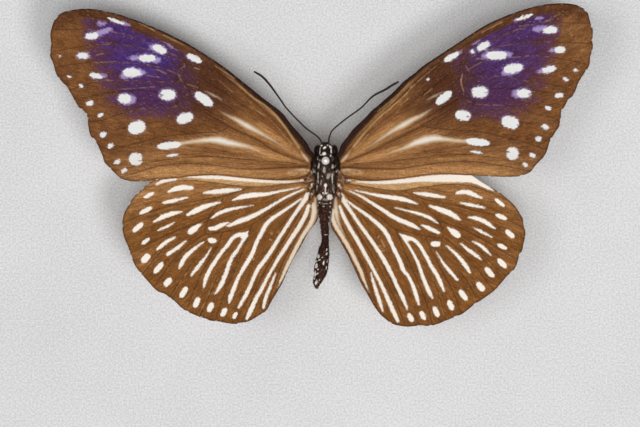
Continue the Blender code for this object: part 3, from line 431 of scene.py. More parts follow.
def smooth_path(points, step, closed=False):
    """Points about a step apart on a smooth curve through the given ones, as an array."""
    spots = [Vector(p) for p in points]
    count = len(spots)
    result = []
    for i in range(count if closed else count - 1):
        start, end = spots[i], spots[(i + 1) % count]
        before = spots[i - 1] if closed or i > 0 else start
        after = spots[(i + 2) % count] if closed or i + 2 < count else end
        reach = (end - start).length / 3
        handle_a = start + (end - before).normalized() * reach
        handle_b = end - (after - start).normalized() * reach
        pieces = max(1, round((end - start).length / step))
        result += interpolate_bezier(start, handle_a, handle_b, end, pieces + 1)[:-1]
    if not closed:
        result.append(spots[-1])
    return np.array([tuple(p) for p in result])


def path_distance(spots, path):
    """Distance from each spot to a polyline, and the share of the way along it of the nearest place."""
    best = np.full(len(spots), np.inf)
    where = np.zeros(len(spots))
    for i, (a, b) in enumerate(zip(path[:-1], path[1:])):
        along = b - a
        share = np.clip(((spots - a) @ along) / max(along @ along, 1e-12), 0, 1)
        gap = np.linalg.norm(spots - a - share[:, None] * along, axis=1)
        closer = gap < best
        best[closer] = gap[closer]
        where[closer] = (i + share[closer]) / (len(path) - 1)
    return best, where


def nearest_of(spots, paths):
    return np.min([path_distance(spots, p)[0] for p in paths], axis=0)


def dot_depth(spots, dots):
    """How deep each spot lies inside the nearest of the oval dots, below zero outside."""
    depth = np.full(len(spots), FAR_OUTSIDE)
    for x, y, half_length, half_width, angle in dots:
        turn = math.radians(angle)
        along = (spots[:, 0] - x) * math.cos(turn) + (spots[:, 1] - y) * math.sin(turn)
        across = (spots[:, 1] - y) * math.cos(turn) - (spots[:, 0] - x) * math.sin(turn)
        powers = np.abs(along / half_length) ** OVAL_POWER + np.abs(across / half_width) ** OVAL_POWER
        share = powers ** (1 / OVAL_POWER) + 1e-4
        depth = np.maximum(depth, np.minimum(np.hypot(along, across) * (1 / share - 1), half_width))
    return depth


def streak_depth(spots, streaks):
    """The same for streaks whose half width changes along them."""
    depth = np.full(len(spots), FAR_OUTSIDE)
    for streak in streaks:
        route = np.array(streak)
        path = smooth_path(route[:, :2], 0.5)
        mids = path_distance(path, route[:, :2])[1] * (len(route) - 1)
        widths = np.interp(mids, np.arange(len(route)), route[:, 2])
        gap, where = path_distance(spots, path)
        half = np.interp(where * (len(path) - 1), np.arange(len(path)), widths)
        depth = np.maximum(depth, half - gap)
    return depth


def inside_loop(spots, loop):
    inside = np.zeros(len(spots), bool)
    for a, b in zip(loop, np.roll(loop, -1, axis=0)):
        if a[1] == b[1]:
            continue
        crosses = (a[1] > spots[:, 1]) != (b[1] > spots[:, 1])
        meets = a[0] + (spots[:, 1] - a[1]) / (b[1] - a[1]) * (b[0] - a[0])
        inside ^= crosses & (spots[:, 0] < meets)
    return inside


def honeycomb(low, high, pitch):
    rows = np.arange(low[1], high[1], pitch * math.sqrt(3) / 2)
    x, y = np.meshgrid(np.arange(low[0], high[0], pitch), rows)
    x = x + 0.5 * pitch * (np.arange(len(rows)) % 2)[:, None]
    return np.column_stack((x.ravel(), y.ravel()))


def smoothstep(low, high, value):
    t = np.clip((value - low) / (high - low), 0, 1)
    return t * t * (3 - 2 * t)


def bell(value, width):
    return np.exp(-(value / width) ** 2)


def rough(spots, scale, seed):
    """Smooth noise from -1 to 1 at each 2D spot."""
    return np.array([noise.noise((x * scale, y * scale, seed)) for x, y in spots])


def link_object(name, data):
    made = bpy.data.objects.new(name, data)
    bpy.context.scene.collection.objects.link(made)
    return made


def mesh_object(name, vertices, faces, material, smooth=True):
    """A mesh object from millimetre coordinates."""
    mesh = bpy.data.meshes.new(name)
    mesh.from_pydata((np.asarray(vertices) * MM).tolist(), [], faces)
    if smooth:
        mesh.shade_smooth()
    mesh.materials.append(material)
    return link_object(name, mesh)


def set_attribute(made, name, values):
    """A number or a vector for each point of a mesh, which its material reads."""
    values = np.asarray(values, np.float32)
    kind, field = ("FLOAT", "value") if values.ndim == 1 else ("FLOAT_VECTOR", "vector")
    made.data.attributes.new(name, kind, "POINT").data.foreach_set(field, values.ravel())


def ring_faces(rings, sides):
    """Quads between each ring of points and the next."""
    faces = []
    for i in range(0, (rings - 1) * sides, sides):
        for j in range(sides):
            k = (j + 1) % sides
            faces.append((i + j, i + k, i + sides + k, i + sides + j))
    return faces


def install(made, node, slot):
    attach(made, "root")
    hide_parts(node)


# Materials

class Paint:
    """One material's node tree, with short calls that add nodes to it."""

    def __init__(self, name, roughness, specular, metallic=0.0):
        self.material = bpy.data.materials.new(name)
        self.material.use_nodes = True
        self.tree = self.material.node_tree
        self.shader = self.tree.nodes["Principled BSDF"]
        self.shader.inputs["Roughness"].default_value = roughness
        self.shader.inputs["Specular IOR Level"].default_value = specular
        self.shader.inputs["Metallic"].default_value = metallic
        self.place = self.vector("SCALE", self.new("TexCoord").outputs["Object"], scale=1 / MM)

    def new(self, kind):
        return self.tree.nodes.new("ShaderNode" + kind)

    def link(self, socket, value):
        if isinstance(value, bpy.types.NodeSocket):
            self.tree.links.new(value, socket)
        elif isinstance(value, tuple) and socket.type == "RGBA":
            socket.default_value = (*value, 1)
        else:
            socket.default_value = value

    def math(self, operation, a, b):
        node = self.new("Math")
        node.operation = operation
        self.link(node.inputs[0], a)
        self.link(node.inputs[1], b)
        return node.outputs[0]

    def times(self, first, *others):
        for other in others:
            first = self.math("MULTIPLY", first, other)
        return first

    def stir(self, value, texture, amount):
        """A value to which a texture from 0 to 1, less a half, is added in some amount."""
        swing = self.times(self.math("SUBTRACT", texture, 0.5), amount)
        return self.math("ADD", value, swing)

    def spread(self, texture, amount):
        """A factor about 1 that swings with a texture from 0 to 1."""
        return self.stir(1.0, texture, amount)

    def vector(self, operation, a, b=None, scale=1.0):
        node = self.new("VectorMath")
        node.operation = operation
        self.link(node.inputs[0], a)
        if b is None:
            self.link(node.inputs["Scale"], scale)
        else:
            self.link(node.inputs[1], b)
        return node.outputs[0]

    def mix(self, factor, a, b):
        node = self.new("Mix")
        node.data_type = "RGBA"
        for i, value in ((0, factor), (6, a), (7, b)):
            self.link(node.inputs[i], value)
        return node.outputs[2]

    def layers(self, ground, coats):
        """The ground with coats of colour over it, each by its share."""
        for share, colour in coats:
            ground = self.mix(share, ground, colour)
        return ground

    def noise(self, scale, detail, source=None, stretch=None):
        node = self.new("TexNoise")
        if stretch is not None:
            source = self.vector("MULTIPLY", source, stretch)
        self.link(node.inputs["Vector"], self.place if source is None else source)
        node.inputs["Scale"].default_value = scale
        node.inputs["Detail"].default_value = detail
        return node.outputs["Fac"]

    def ramp(self, value, low, high, to_low=0.0, to_high=1.0):
        """A smooth step of a value from one range to another."""
        node = self.new("MapRange")
        node.interpolation_type = "SMOOTHSTEP"
        names = ("Value", "From Min", "From Max", "To Min", "To Max")
        for name, number in zip(names, (value, low, high, to_low, to_high)):
            self.link(node.inputs[name], number)
        return node.outputs["Result"]

    def attribute(self, name, output="Fac"):
        node = self.new("Attribute")
        node.attribute_name = name
        return node.outputs[output]

    def bump(self, height, distance, strength):
        node = self.new("Bump")
        node.inputs["Strength"].default_value = strength
        node.inputs["Distance"].default_value = distance * MM
        self.link(node.inputs["Height"], height)
        self.link(self.shader.inputs["Normal"], node.outputs["Normal"])

    def colour(self, value):
        self.link(self.shader.inputs["Base Color"], value)


def wing_paint(name, brown, dark, white_scale, ragged, halo_share):
    """Wing scales: ground colour, veins and dark edge, then tan lines, lilac, cream and white marks, with
    painted shade in the creases and at the root and painted highlights among the tan lines and cream.
    """
    paint = Paint(name, 0.5, 0.04)
    times, ramp, stir, spread, weight = paint.times, paint.ramp, paint.stir, paint.spread, paint.attribute
    flow = weight("flow", "Vector")
    hairlines = paint.noise(1, 4, flow, (9, 0.8, 1))
    bands = paint.noise(1, 2, flow, (1.3, 0.07, 1))
    threads = paint.noise(1, 3, flow, (3.6, 0.5, 1))
    specks = paint.noise(1, 2, flow, (8, 2.2, 1))
    wobble = paint.noise(1, 5, flow, (7.5, 1.7, 1))
    blotches = paint.noise(0.5, 4)
    patches = paint.noise(0.9, 2)
    grain = paint.noise(6.5, 4)
    above = weight("above")

    # The violet gloss lies on the upper side only
    violet = stir(stir(stir(weight("violet"), blotches, 0.5), threads, 1.3), bands, 0.8)
    violet = times(violet, ramp(weight("violet"), 0.02, 0.25), above)
    near_lilac = ramp(weight("lilac"), -2.2, -0.2, 0.55, 0.9)
    ground = paint.layers(paint.mix(ramp(blotches, 0.1, 0.8), dark, brown), [
        (ramp(stir(weight("warm"), bands, 0.9), 0, 1.15), TAN),
        (times(weight("pale_field"), 0.9), PALE_TAN),
        (weight("dusk"), DUSK),
        (ramp(violet, 0, 0.5), PLUM),
        (ramp(violet, 0.25, 0.85), VIOLET),
        (times(weight("dusk"), ramp(violet, 0, 0.4, 0, 0.75)), DARK_PLUM),
        (times(ramp(violet, 0.45, 0.95), near_lilac, weight("blue")), DEEP_VIOLET),
    ])
    # The scales' own streaks and grain, times painted shade that darkens the creases
    grain_and_crease_shade = times(spread(hairlines, 1.3), spread(grain, 2.5), spread(bands, 0.45), spread(threads, 1.3),
                  ramp(weight("fold"), 0, 0.2, 0.6, 1))
    grain_and_crease_shaded = paint.vector("SCALE", ground, scale=grain_and_crease_shade)

    golden = times(ramp(violet, 0.2, 0.6), ramp(patches, 0.45, 0.62, 0.1, 1))
    veined = ramp(stir(weight("vein"), grain, 0.16), 0, 0.18, 0.75, 0)
    veined = times(veined, ramp(hairlines, 0.3, 0.6, 0.55, 1))
    halo = ramp(stir(weight("white"), wobble, 1.6), -0.45, 0.2, 0, 0.5)
    halo = times(halo, ramp(violet, 0, 0.4, 0.15, 1))
    cream = stir(weight("cream"), wobble, 0.4)
    white = stir(stir(weight("white"), wobble, ragged), grain, 0.35)
    white_colour = paint.mix(weight("creamy"), white_scale, CREAM)
    white_colour = paint.vector("SCALE", white_colour, scale=spread(grain, 0.16))
    paint.colour(paint.layers(grain_and_crease_shaded, [
        (veined, paint.mix(golden, VEIN_BROWN, VEIN_OCHRE)),
        (ramp(stir(weight("margin"), grain, 0.25), 0.12, 0.42, 0.6, 0), VEIN_BROWN),
        (times(ramp(patches, 0.56, 0.62), ramp(weight("fringe"), 0.03, 0.2, 0.85, 0)), WHITE),
        (weight("costa"), COSTA_BLACK),
        # Dark root scales, and painted shade in the gap between the thorax and the wing
        (weight("root"), BASE_DARK),
        (ramp(specks, 0.65, 0.75, 0, 0.6), PALE_TAN),
        # Tan lines, with painted highlights beside the hindwing creases
        (ramp(stir(weight("lines"), hairlines, 0.35), -0.14, 0.16, 0, 0.6), PALE_TAN),
        (times(ramp(stir(weight("lilac"), wobble, 1.3), -0.3, 0.35, 0, 0.72), above), LILAC),
        (times(halo, halo_share), LILAC),
        # Cream streaks, with the painted highlights on the forewing root edges
        (ramp(cream, -0.36, 0.34), CREAM),
        (ramp(cream, 0.12, 0.44, 0, 0.7), WHITE),
        (ramp(white, -0.13, 0.13), white_colour),
    ]))
    paint.link(paint.shader.inputs["Roughness"], ramp(white, -0.1, 0.1, 0.46, 0.75))
    paint.bump(paint.math("ADD", hairlines, grain), 0.06, 0.6)
    return paint.material


def scaly_paint(name, dark, mid, pale):
    """Body scales: dark ground with mid-toned tufts and hairs, and pale flecks by a vertex attribute."""
    paint = Paint(name, 0.6, 0.08)
    fine = paint.noise(9, 2)
    tufts = paint.math("ADD", paint.noise(2.2, 3), paint.attribute("tone"))
    flecks = paint.stir(paint.attribute("pale"), fine, 0.9)
    coats = [(paint.ramp(tufts, 0.5, 1.15), mid), (paint.ramp(flecks, 0.3, 0.75), pale)]
    paint.colour(paint.layers(dark, coats))
    paint.bump(fine, 0.06, 0.7)
    return paint.material


# Wings

FRAY_DEPTH = 0.07
EDGE_CLEARANCE = 0.12
VEIN_RIDGE = 0.09
SAG_BETWEEN_VEINS = 0.16
CREASE_DEPTH = 0.05
SHEET_THICKNESS = 0.07
VEIN_THICKNESS = 0.14
FLOW_SCALE = 22


def closed_ring(loop):
    return np.vstack((loop, loop[:1]))


def wing_sheet(outline, veins, folds):
    """A flat fine mesh of one wing: points in the plane, triangles, and the loop of its edge."""
    loop = smooth_path(outline, EDGE_STEP, closed=True)
    inward = loop - np.roll(loop, -1, axis=0)
    inward = np.column_stack((-inward[:, 1], inward[:, 0])) / np.linalg.norm(inward, axis=1)[:, None]
    inward[~inside_loop(loop + inward * 0.02, loop)] *= -1
    loop = loop + inward * (FRAY_DEPTH * (0.5 + 0.5 * rough(loop, 2.7, 4)))[:, None]
    ring = closed_ring(loop)
    paths = []
    for route in veins + folds:
        path = smooth_path(route, VEIN_STEP)
        paths.append(path[inside_loop(path, loop) & (path_distance(path, ring)[0] > EDGE_CLEARANCE)])
    fill = honeycomb(loop.min(axis=0), loop.max(axis=0), WING_PITCH)
    fill = fill[inside_loop(fill, loop)]
    apart = nearest_of(fill, [ring] + paths) > 0.55 * WING_PITCH
    edges = [(i, (i + 1) % len(loop)) for i in range(len(loop))]
    points = [Vector(p) for p in np.vstack([loop] + paths + [fill[apart]])]
    flat, _, faces, _, _, _ = delaunay_2d_cdt(points, edges, [], 1, 1e-6)
    return np.array([tuple(p) for p in flat]), np.array([tuple(f) for f in faces]), ring, paths


def build_wing(name, outline, veins, folds, height, attributes, material):
    """A closed two-sided wing: upper and lower sheets with raised veins, joined round the edge."""
    flat, faces, ring, paths = wing_sheet(outline, veins, folds)
    x, y = flat[:, 0], flat[:, 1]
    vein_gap = nearest_of(flat, paths[:len(veins)])
    fold_gap = nearest_of(flat, paths[len(veins):])
    margin = path_distance(flat, ring)[0]
    base = np.hypot(x, y + 1)
    thin = smoothstep(0, 1.2, margin)
    ridge = bell(vein_gap, 0.14) * (1 - 0.6 * smoothstep(8, 38, base)) * thin
    sag = (1 - bell(vein_gap, 1.3)) * thin
    waves = rough(flat, 0.16, 1) * 0.22 + rough(flat, 0.45, 2) * 0.05
    z = height(x, y) + VEIN_RIDGE * ridge - SAG_BETWEEN_VEINS * sag
    z = z - CREASE_DEPTH * bell(fold_gap, 0.1) + waves * thin
    top = np.column_stack((x, y, z))
    bottom = np.column_stack((x, y, z - SHEET_THICKNESS - VEIN_THICKNESS * ridge))
    count = len(flat)
    sides = {(a, b): True for face in faces.tolist() for a, b in zip(face, face[1:] + face[:1])}
    rim = [(b, a, a + count, b + count) for a, b in sides if (b, a) not in sides]
    every_face = faces.tolist() + (faces[:, ::-1] + count).tolist() + rim
    made = mesh_object(name, np.vstack((top, bottom)), every_face, material)
    values = attributes(flat)
    values["vein"] = vein_gap * (1 - 0.6 * bell(base, 8))
    values["fold"] = fold_gap
    values["margin"] = margin
    values["fringe"] = margin + 1 - smoothstep(20, 26, base)
    values["flow"] = np.column_stack((np.arctan2(y + 1, np.abs(x)) * FLOW_SCALE, base, np.zeros(count)))
    for key, value in values.items():
        set_attribute(made, key, np.concatenate((value, value)))
    set_attribute(made, "above", np.repeat((1, 0), count))
    return made


def forewing_height(x, y):
    return FOREWING_Z + 0.25 * (x / 45) ** 2 - 0.004 * np.maximum(0, 6 - np.abs(x)) ** 2


def hindwing_height(x, y):
    return HINDWING_Z + 0.2 * (np.hypot(x, y + 4) / 33) ** 2


def root_scales_and_shade(spots):
    """The dark over the wing's root beside the body: dark scales, with painted shade in the gap between the
    thorax and the wing.
    """
    reach = np.abs(spots[:, 0]) + 0.5 * rough(spots, 1.1, 8) + 0.25 * rough(spots, 3.1, 9)
    return 0.97 * (1 - smoothstep(1.7, 2.5, reach)) * smoothstep(-7, -4.5, spots[:, 1])


def forewing_attributes(costal_edge, dots, notches, streaks, lines, lilac, blue, gloss_end, apex_glow):
    """A function that gives each forewing spot its colour weights."""
    costal_path = smooth_path(costal_edge, 1)
    side = math.copysign(1, costal_edge[0][0])
    edge_highlights = [[(side * x, y, half) for x, y, half in route] for route in ROOT_EDGE_HIGHLIGHTS]

    def weights(spots):
        x, y = np.abs(spots[:, 0]), spots[:, 1]
        folded = np.column_stack((x, y))
        front, along = path_distance(spots, costal_path)
        outer = 1 - smoothstep(gloss_end - 9.5, gloss_end + 1, x - 0.35 * (y - 12.5))
        outer = outer * (1 - smoothstep(gloss_end - 1, gloss_end + 2.5, x))
        below = smoothstep(5, 11.5, y + 0.8 * rough(spots, 0.4, 33))
        inner = smoothstep(19, 28, x + 1.2 * rough(spots, 0.35, 31))
        rear = 1 - smoothstep(-2, 3.5, y)
        basal = 1 - smoothstep(5, 27, x)
        streak_glow = smoothstep(-1.7, 0.3, streak_depth(spots, streaks))
        rear_glow = rear * smoothstep(2, 22, x) * (1 - 0.5 * smoothstep(28, 37, x))
        gold = smoothstep(-0.5, 0.25, streak_depth(folded, GOLD_RIDGES))
        warm = 0.75 * rear_glow + 0.2 * basal * smoothstep(0.6, 2.2, front)
        warm = warm + 0.5 * streak_glow + 0.38 * gold
        warm += apex_glow * smoothstep(36, 41, x) * smoothstep(13, 21, y)
        # A painted highlight: the glossy pale band between the rear spots
        warm += 0.25 * bell(x - 28, 4) * bell(y - 1.6, 1)
        dusk = 0.95 * np.exp(-((x - 20.5) / 6) ** 4 - ((y - 13) / 6.8) ** 4)
        dusk = np.maximum(dusk, 0.75 * (1 - smoothstep(0.9, 3.2, front)) * smoothstep(0.3, 0.42, along))
        dark = np.interp(along, (0, 0.1, 0.3, 0.45, 1), (1, 1.15, 0.75, 0.3, 0.12))
        stripe = smoothstep(dark, dark + 0.2, front) * (1 - smoothstep(dark + 0.35, dark + 0.8, front))
        stripe = stripe * smoothstep(0.12, 0.3, along) * (1 - smoothstep(0.7, 0.95, along))
        lobe = smoothstep(-0.25, 0.3, dot_depth(folded, [(4.4, -1.7, 2, 0.55, -3)]))
        lobe = lobe * (0.6 + 0.6 * rough(spots, 2.4, 14))
        return {
            "white": np.minimum(dot_depth(spots, dots), 0.02 - dot_depth(spots, notches)),
            # The cream weight holds the real cream streaks and the painted highlights on the root edges
            "cream": streak_depth(spots, streaks + edge_highlights) - 0.16,
            "lines": streak_depth(spots, lines),
            "lilac": dot_depth(spots, lilac),
            "violet": 0.95 * inner * outer * below * smoothstep(0.9, 2.4, front),
            "blue": blue * (0.25 + 0.75 * smoothstep(11.5, 17, y)),
            "warm": warm,
            "dusk": dusk,
            "costa": 0.97 * (1 - smoothstep(0.75 * dark, 1.3 * dark, front)),
            "pale_field": np.maximum(0.2 * stripe, 0.75 * lobe),
            "creamy": 0.25 * rear,
            "root": root_scales_and_shade(spots),
        }
    return weights


def hindwing_attributes(dots, streaks, cream, lines, front_vein, folds):
    """The same for a hindwing, which has no violet and no dark front edge."""
    front_path = smooth_path(front_vein, 1)
    side = math.copysign(1, front_vein[0][0])
    anal_cream = [[(side * x, y, half) for x, y, half in route] for route in ANAL_CREAM]
    highlit_creases = [smooth_path(f, 0.5) for f in folds]

    def weights(spots):
        x, y = np.abs(spots[:, 0]), spots[:, 1]
        field = smoothstep(-0.1, 0.25, y - np.interp(x, np.abs(front_path[:, 0]), front_path[:, 1]))
        warm = 0.6 * (1 - smoothstep(0.5, 7, -y - 0.12 * x))
        warm = warm + 0.15 * (1 - smoothstep(3, 12, x)) + 0.25 * smoothstep(27, 32, x)
        near_body = 1 - smoothstep(2, 16, x + 0.25 * (y + 20))
        inner_line = smoothstep(-0.3, 0, streak_depth(spots, cream[:1]))
        # Painted highlights: pale lines along both sides of each crease
        crease_highlights = 0.16 * rough(spots, 1.3, 21) - 0.03 - np.abs(nearest_of(spots, highlit_creases) - 0.2)
        none = np.zeros(len(spots))
        return {
            "white": np.maximum(dot_depth(spots, dots), streak_depth(spots, streaks + cream)),
            "cream": streak_depth(spots, anal_cream) - 0.25,
            "lines": np.maximum(streak_depth(spots, lines), crease_highlights),
            "lilac": none + FAR_OUTSIDE,
            "violet": none,
            "blue": none,
            "warm": warm,
            "dusk": none,
            "costa": none,
            "pale_field": 0.8 * field * (1 - smoothstep(19, 27, x)),
            "creamy": np.maximum(0.3 * near_body, 0.85 * inner_line),
            "root": root_scales_and_shade(spots),
        }
    return weights


def make_wings():
    fore = wing_paint("forewing_scales", FORE_BROWN, DARK_BROWN, WHITE, 0.9, 1.0)
    hind = wing_paint("hindwing_scales", HIND_BROWN, HIND_DARK, WARM_WHITE, 0.5, 0.0)
    fore_left = forewing_attributes(
        LEFT_FOREWING[1:26], LEFT_FORE_DOTS, LEFT_FORE_NOTCHES, LEFT_FORE_STREAKS,
        LEFT_FORE_LINES, LEFT_FORE_LILAC, blue=1.0, gloss_end=40.2, apex_glow=0.0)
    fore_right = forewing_attributes(
        RIGHT_FOREWING[1:30], RIGHT_FORE_DOTS, RIGHT_FORE_NOTCHES, RIGHT_FORE_STREAKS,
        RIGHT_FORE_LINES, RIGHT_FORE_LILAC, blue=0.6, gloss_end=38.8, apex_glow=0.3)
    hind_left = hindwing_attributes(
        LEFT_HIND_DOTS, LEFT_HIND_STREAKS, LEFT_HIND_CREAM, LEFT_HIND_LINES,
        LEFT_HIND_VEINS[0], LEFT_HIND_FOLDS[:3])
    hind_right = hindwing_attributes(
        RIGHT_HIND_DOTS, RIGHT_HIND_STREAKS, RIGHT_HIND_CREAM, RIGHT_HIND_LINES,
        RIGHT_HIND_VEINS[0], RIGHT_HIND_FOLDS[:3])
    jobs = (
        ("forewing_left", LEFT_FOREWING, LEFT_FORE_VEINS, LEFT_FORE_FOLDS,
         forewing_height, fore_left, fore, "forewing_scales"),
        ("forewing_right", RIGHT_FOREWING, RIGHT_FORE_VEINS, RIGHT_FORE_FOLDS,
         forewing_height, fore_right, fore, "forewing_scales"),
        ("hindwing_left", LEFT_HINDWING, LEFT_HIND_VEINS, LEFT_HIND_FOLDS,
         hindwing_height, hind_left, hind, "hindwing_scales"),
        ("hindwing_right", RIGHT_HINDWING, RIGHT_HIND_VEINS, RIGHT_HIND_FOLDS,
         hindwing_height, hind_right, hind, "hindwing_scales"),
    )
    for node, outline, veins, folds, height, attributes, material, slot in jobs:
        wing = build_wing(node + "_scaled", outline, veins, folds, height, attributes, material)
        install(wing, node, slot)


# Body data. A station is y, centre x, centre z, half width and half height.

THORAX_STATIONS = [
    (1, 0, 24.7, 0.9, 1), (0.6, 0, 24.75, 1.3, 1.55), (-0.1, 0, 24.75, 1.45, 1.9),
    (-1, -0.02, 24.75, 1.5, 2.1), (-2, 0, 24.7, 1.52, 2.25), (-3.2, 0, 24.7, 1.52, 2.25),
    (-4.4, 0, 24.7, 1.52, 2.1), (-5.4, 0, 24.7, 1.55, 1.85), (-6.1, 0, 24.7, 1.35, 1.45),
    (-6.55, -0.02, 24.7, 1, 1),
]
HEAD_STATIONS = [
    (3.3, 0.05, 24.75, 0.4, 0.45), (3, 0.05, 24.8, 0.85, 0.85), (2.5, 0.05, 24.95, 1.12, 1.1),
    (1.9, 0.05, 24.95, 1.18, 1.2), (1.35, 0.03, 24.9, 1.2, 1.2), (0.95, 0, 24.85, 1.15, 1.15),
    (0.6, 0, 24.8, 1, 1),
]
ABDOMEN_STATIONS = [
    (-6.35, -0.02, 24.75, 1.15, 1.1), (-7, -0.1, 24.75, 1.2, 1.2), (-8, -0.15, 24.75, 1.08, 1.15),
    (-9, -0.2, 24.7, 0.9, 1), (-10, -0.17, 24.65, 0.76, 0.86), (-11, -0.13, 24.6, 0.66, 0.76),
    (-12.5, -0.03, 24.55, 0.56, 0.66), (-13.4, -0.06, 24.5, 0.6, 0.7), (-14.5, -0.28, 24.45, 0.88, 0.95),
    (-15.5, -0.35, 24.4, 0.96, 1.05), (-16.5, -0.56, 24.35, 1.08, 1.15), (-17.5, -0.7, 24.3, 1.15, 1.2),
    (-18.5, -0.83, 24.3, 1.04, 1.1), (-19.3, -1.1, 24.3, 0.9, 0.95), (-20, -1.37, 24.3, 0.68, 0.75),
    (-20.6, -1.48, 24.3, 0.38, 0.45), (-21, -1.38, 24.3, 0.16, 0.18),
]
# Pale marks on the body, as dots
THORAX_MARKS = [
    (-1.2, -2.6, 0.95, 0.11, 90), (1.15, -2.7, 0.95, 0.1, 90), (-1.1, -0.6, 0.45, 0.14, 80),
    (1.2, -0.75, 0.35, 0.16, 80), (0.02, -3.85, 0.3, 0.2, 90), (0.02, -4.6, 0.7, 0.09, 90),
    (-0.28, -5.2, 0.3, 0.09, -34), (0.25, -5.2, 0.28, 0.09, 32), (-1, -5.8, 0.5, 0.42, 60),
    (0.75, -5.8, 0.5, 0.42, 120), (-1.75, -1.5, 0.4, 0.12, 60), (1.75, -1.55, 0.35, 0.12, 120),
    (-1.75, -4.8, 0.25, 0.14, 90), (-1.4, 0.35, 0.3, 0.08, 80), (1.15, 0.5, 0.4, 0.1, 100),
    (-0.9, 0.3, 0.15, 0.06, 0), (-1.5, -3.3, 0.25, 0.06, 70), (1.55, -4.9, 0.3, 0.1, 60),
    (-1.35, -4.1, 0.2, 0.07, 80), (0.85, -1.9, 0.2, 0.05, 90), (-0.45, -2.4, 0.2, 0.05, 90),
]
# The soft mark at (-0.2, -1.3) is the pin's shadow, painted in as a greyish patch
THORAX_SOFT_MARKS_AND_PIN_SHADOW = [
    (0.5, -2.3, 0.55, 0.38, 70), (-0.2, -1.3, 0.6, 0.28, 90), (-0.7, -3.4, 0.5, 0.2, 80),
    (0.1, -6.2, 0.7, 0.2, 0), (1.35, -4.3, 0.7, 0.3, 90), (-1.5, -4.2, 0.7, 0.25, 90),
    (1.45, -1.9, 0.5, 0.2, 90),
]
HEAD_MARKS = [
    (-0.62, 2.78, 0.2, 0.15, 40), (-0.12, 2.38, 0.26, 0.16, 40), (-1.08, 1.6, 0.42, 0.2, 75),
    (0.85, 2.5, 0.3, 0.15, 130), (1.02, 1.8, 0.34, 0.2, 95), (-0.22, 1.4, 0.3, 0.26, 20),
    (-0.75, 1.2, 0.12, 0.09, 0), (0.9, 0.95, 0.32, 0.1, 90), (0.35, 2.78, 0.1, 0.07, 0),
    (-0.9, 2.25, 0.2, 0.09, 70), (0.5, 2.9, 0.14, 0.07, 0),
]
ABDOMEN_MARKS = [
    (-1.25, -14.6, 0.5, 0.1, 75), (-1.15, -15.7, 0.35, 0.16, 80), (-1.5, -17.3, 0.4, 0.2, 80),
    (-1.72, -18.6, 0.5, 0.15, 85), (-1.6, -20.2, 0.25, 0.12, 70), (-0.3, -16.8, 0.35, 0.1, 80),
    (0.2, -15.3, 0.2, 0.1, 60), (0.15, -17.6, 0.25, 0.08, 85), (-1, -16.3, 0.2, 0.1, 30),
    (-1.25, -8.2, 0.4, 0.06, 80), (-1, -9.6, 0.3, 0.05, 80), (0.55, -10.2, 0.3, 0.05, 95),
    (-1.25, -7.2, 0.12, 0.1, 0), (-1.15, -8.9, 0.12, 0.08, 0), (0.8, -7.4, 0.12, 0.1, 0),
    (0.75, -8.3, 0.12, 0.09, 0), (0.6, -9.2, 0.12, 0.08, 0), (-0.9, -10.4, 0.1, 0.08, 0),
    (0.1, -12.1, 0.25, 0.06, 0), (-0.75, -11.3, 0.1, 0.06, 0), (-1, -6.75, 0.18, 0.1, 30),
    (0.85, -6.8, 0.15, 0.09, 0), (-0.3, -7.35, 0.2, 0.04, 0), (-1.35, -15.2, 0.2, 0.06, 30),
    (-1.55, -16.6, 0.25, 0.1, 60), (-1.25, -17.9, 0.18, 0.08, 20), (-1.35, -18.6, 0.2, 0.08, 40),
    (-1.85, -19.4, 0.2, 0.1, 90), (-0.95, -19.6, 0.15, 0.05, 60), (0.3, -16.5, 0.3, 0.05, 85),
    (-0.5, -15.9, 0.15, 0.06, 30), (0.2, -14.6, 0.2, 0.08, 80), (-0.95, -12.6, 0.35, 0.06, 85),
    (-0.85, -13.6, 0.4, 0.05, 88),
]
ABDOMEN_SOFT_MARKS = [
    (-0.1, -6.9, 0.7, 0.12, 0), (-1.5, -20, 0.5, 0.3, 70), (-0.1, -8.2, 0.5, 0.07, 0),
    (-0.1, -9.5, 0.4, 0.06, 0), (-0.1, -10.8, 0.3, 0.05, 0), (0, -15, 0.4, 0.06, 0),
    (-0.4, -18, 0.5, 0.06, 0),
]
# The pads over the wing roots
TEGULA = [
    (1.35, 1.4, 25.1, 0.25, 0.3), (0.9, 1.55, 25.3, 0.5, 0.5), (0.3, 1.75, 25.4, 0.5, 0.55),
    (-0.4, 1.9, 25.45, 0.42, 0.45), (-1.1, 1.95, 25.4, 0.3, 0.35), (-1.7, 1.9, 25.35, 0.16, 0.2),
]
TEGULA_MARKS = [
    (1.9, -1.35, 0.35, 0.14, 60), (1.3, 0.6, 0.3, 0.05, 100), (1.75, -0.5, 0.22, 0.05, 80),
]
# Folds of skin at the wing roots: a route with a radius at each point
ROOT_FOLDS = [
    [(1.9, -1.5, 25.2, 0.2), (2.3, -1.8, 25.35, 0.32), (2.7, -2.3, 25.35, 0.3), (2.9, -2.7, 25.2, 0.12)],
    [(2.1, -2.9, 25.2, 0.2), (2.7, -3, 25.4, 0.44), (3.4, -3.1, 25.42, 0.4), (4.3, -3.05, 25.35, 0.12)],
    [(2.05, -3.5, 24.9, 0.26), (2.3, -3.9, 25, 0.32), (2.55, -4.4, 24.9, 0.25), (2.75, -4.9, 24.8, 0.08)],
    [(1.95, -4.7, 24.8, 0.22), (2.1, -5.1, 24.85, 0.26), (2.3, -5.7, 24.8, 0.18), (2.45, -6.2, 24.7, 0.08)],
]
# Pale places on them: pale hair in some, painted highlights on the glossy folds in others
ROOT_PALE_AND_HIGHLIGHT_MARKS = [
    (2.25, -1.55, 0.22, 0.1, 60), (3.98, -3.02, 0.38, 0.19, 6), (2.25, -3.8, 0.3, 0.18, 90),
    (2.2, -5.3, 0.2, 0.1, 60), (2.6, -4.2, 0.25, 0.07, 30), (2.9, -2.5, 0.2, 0.06, 60),
]
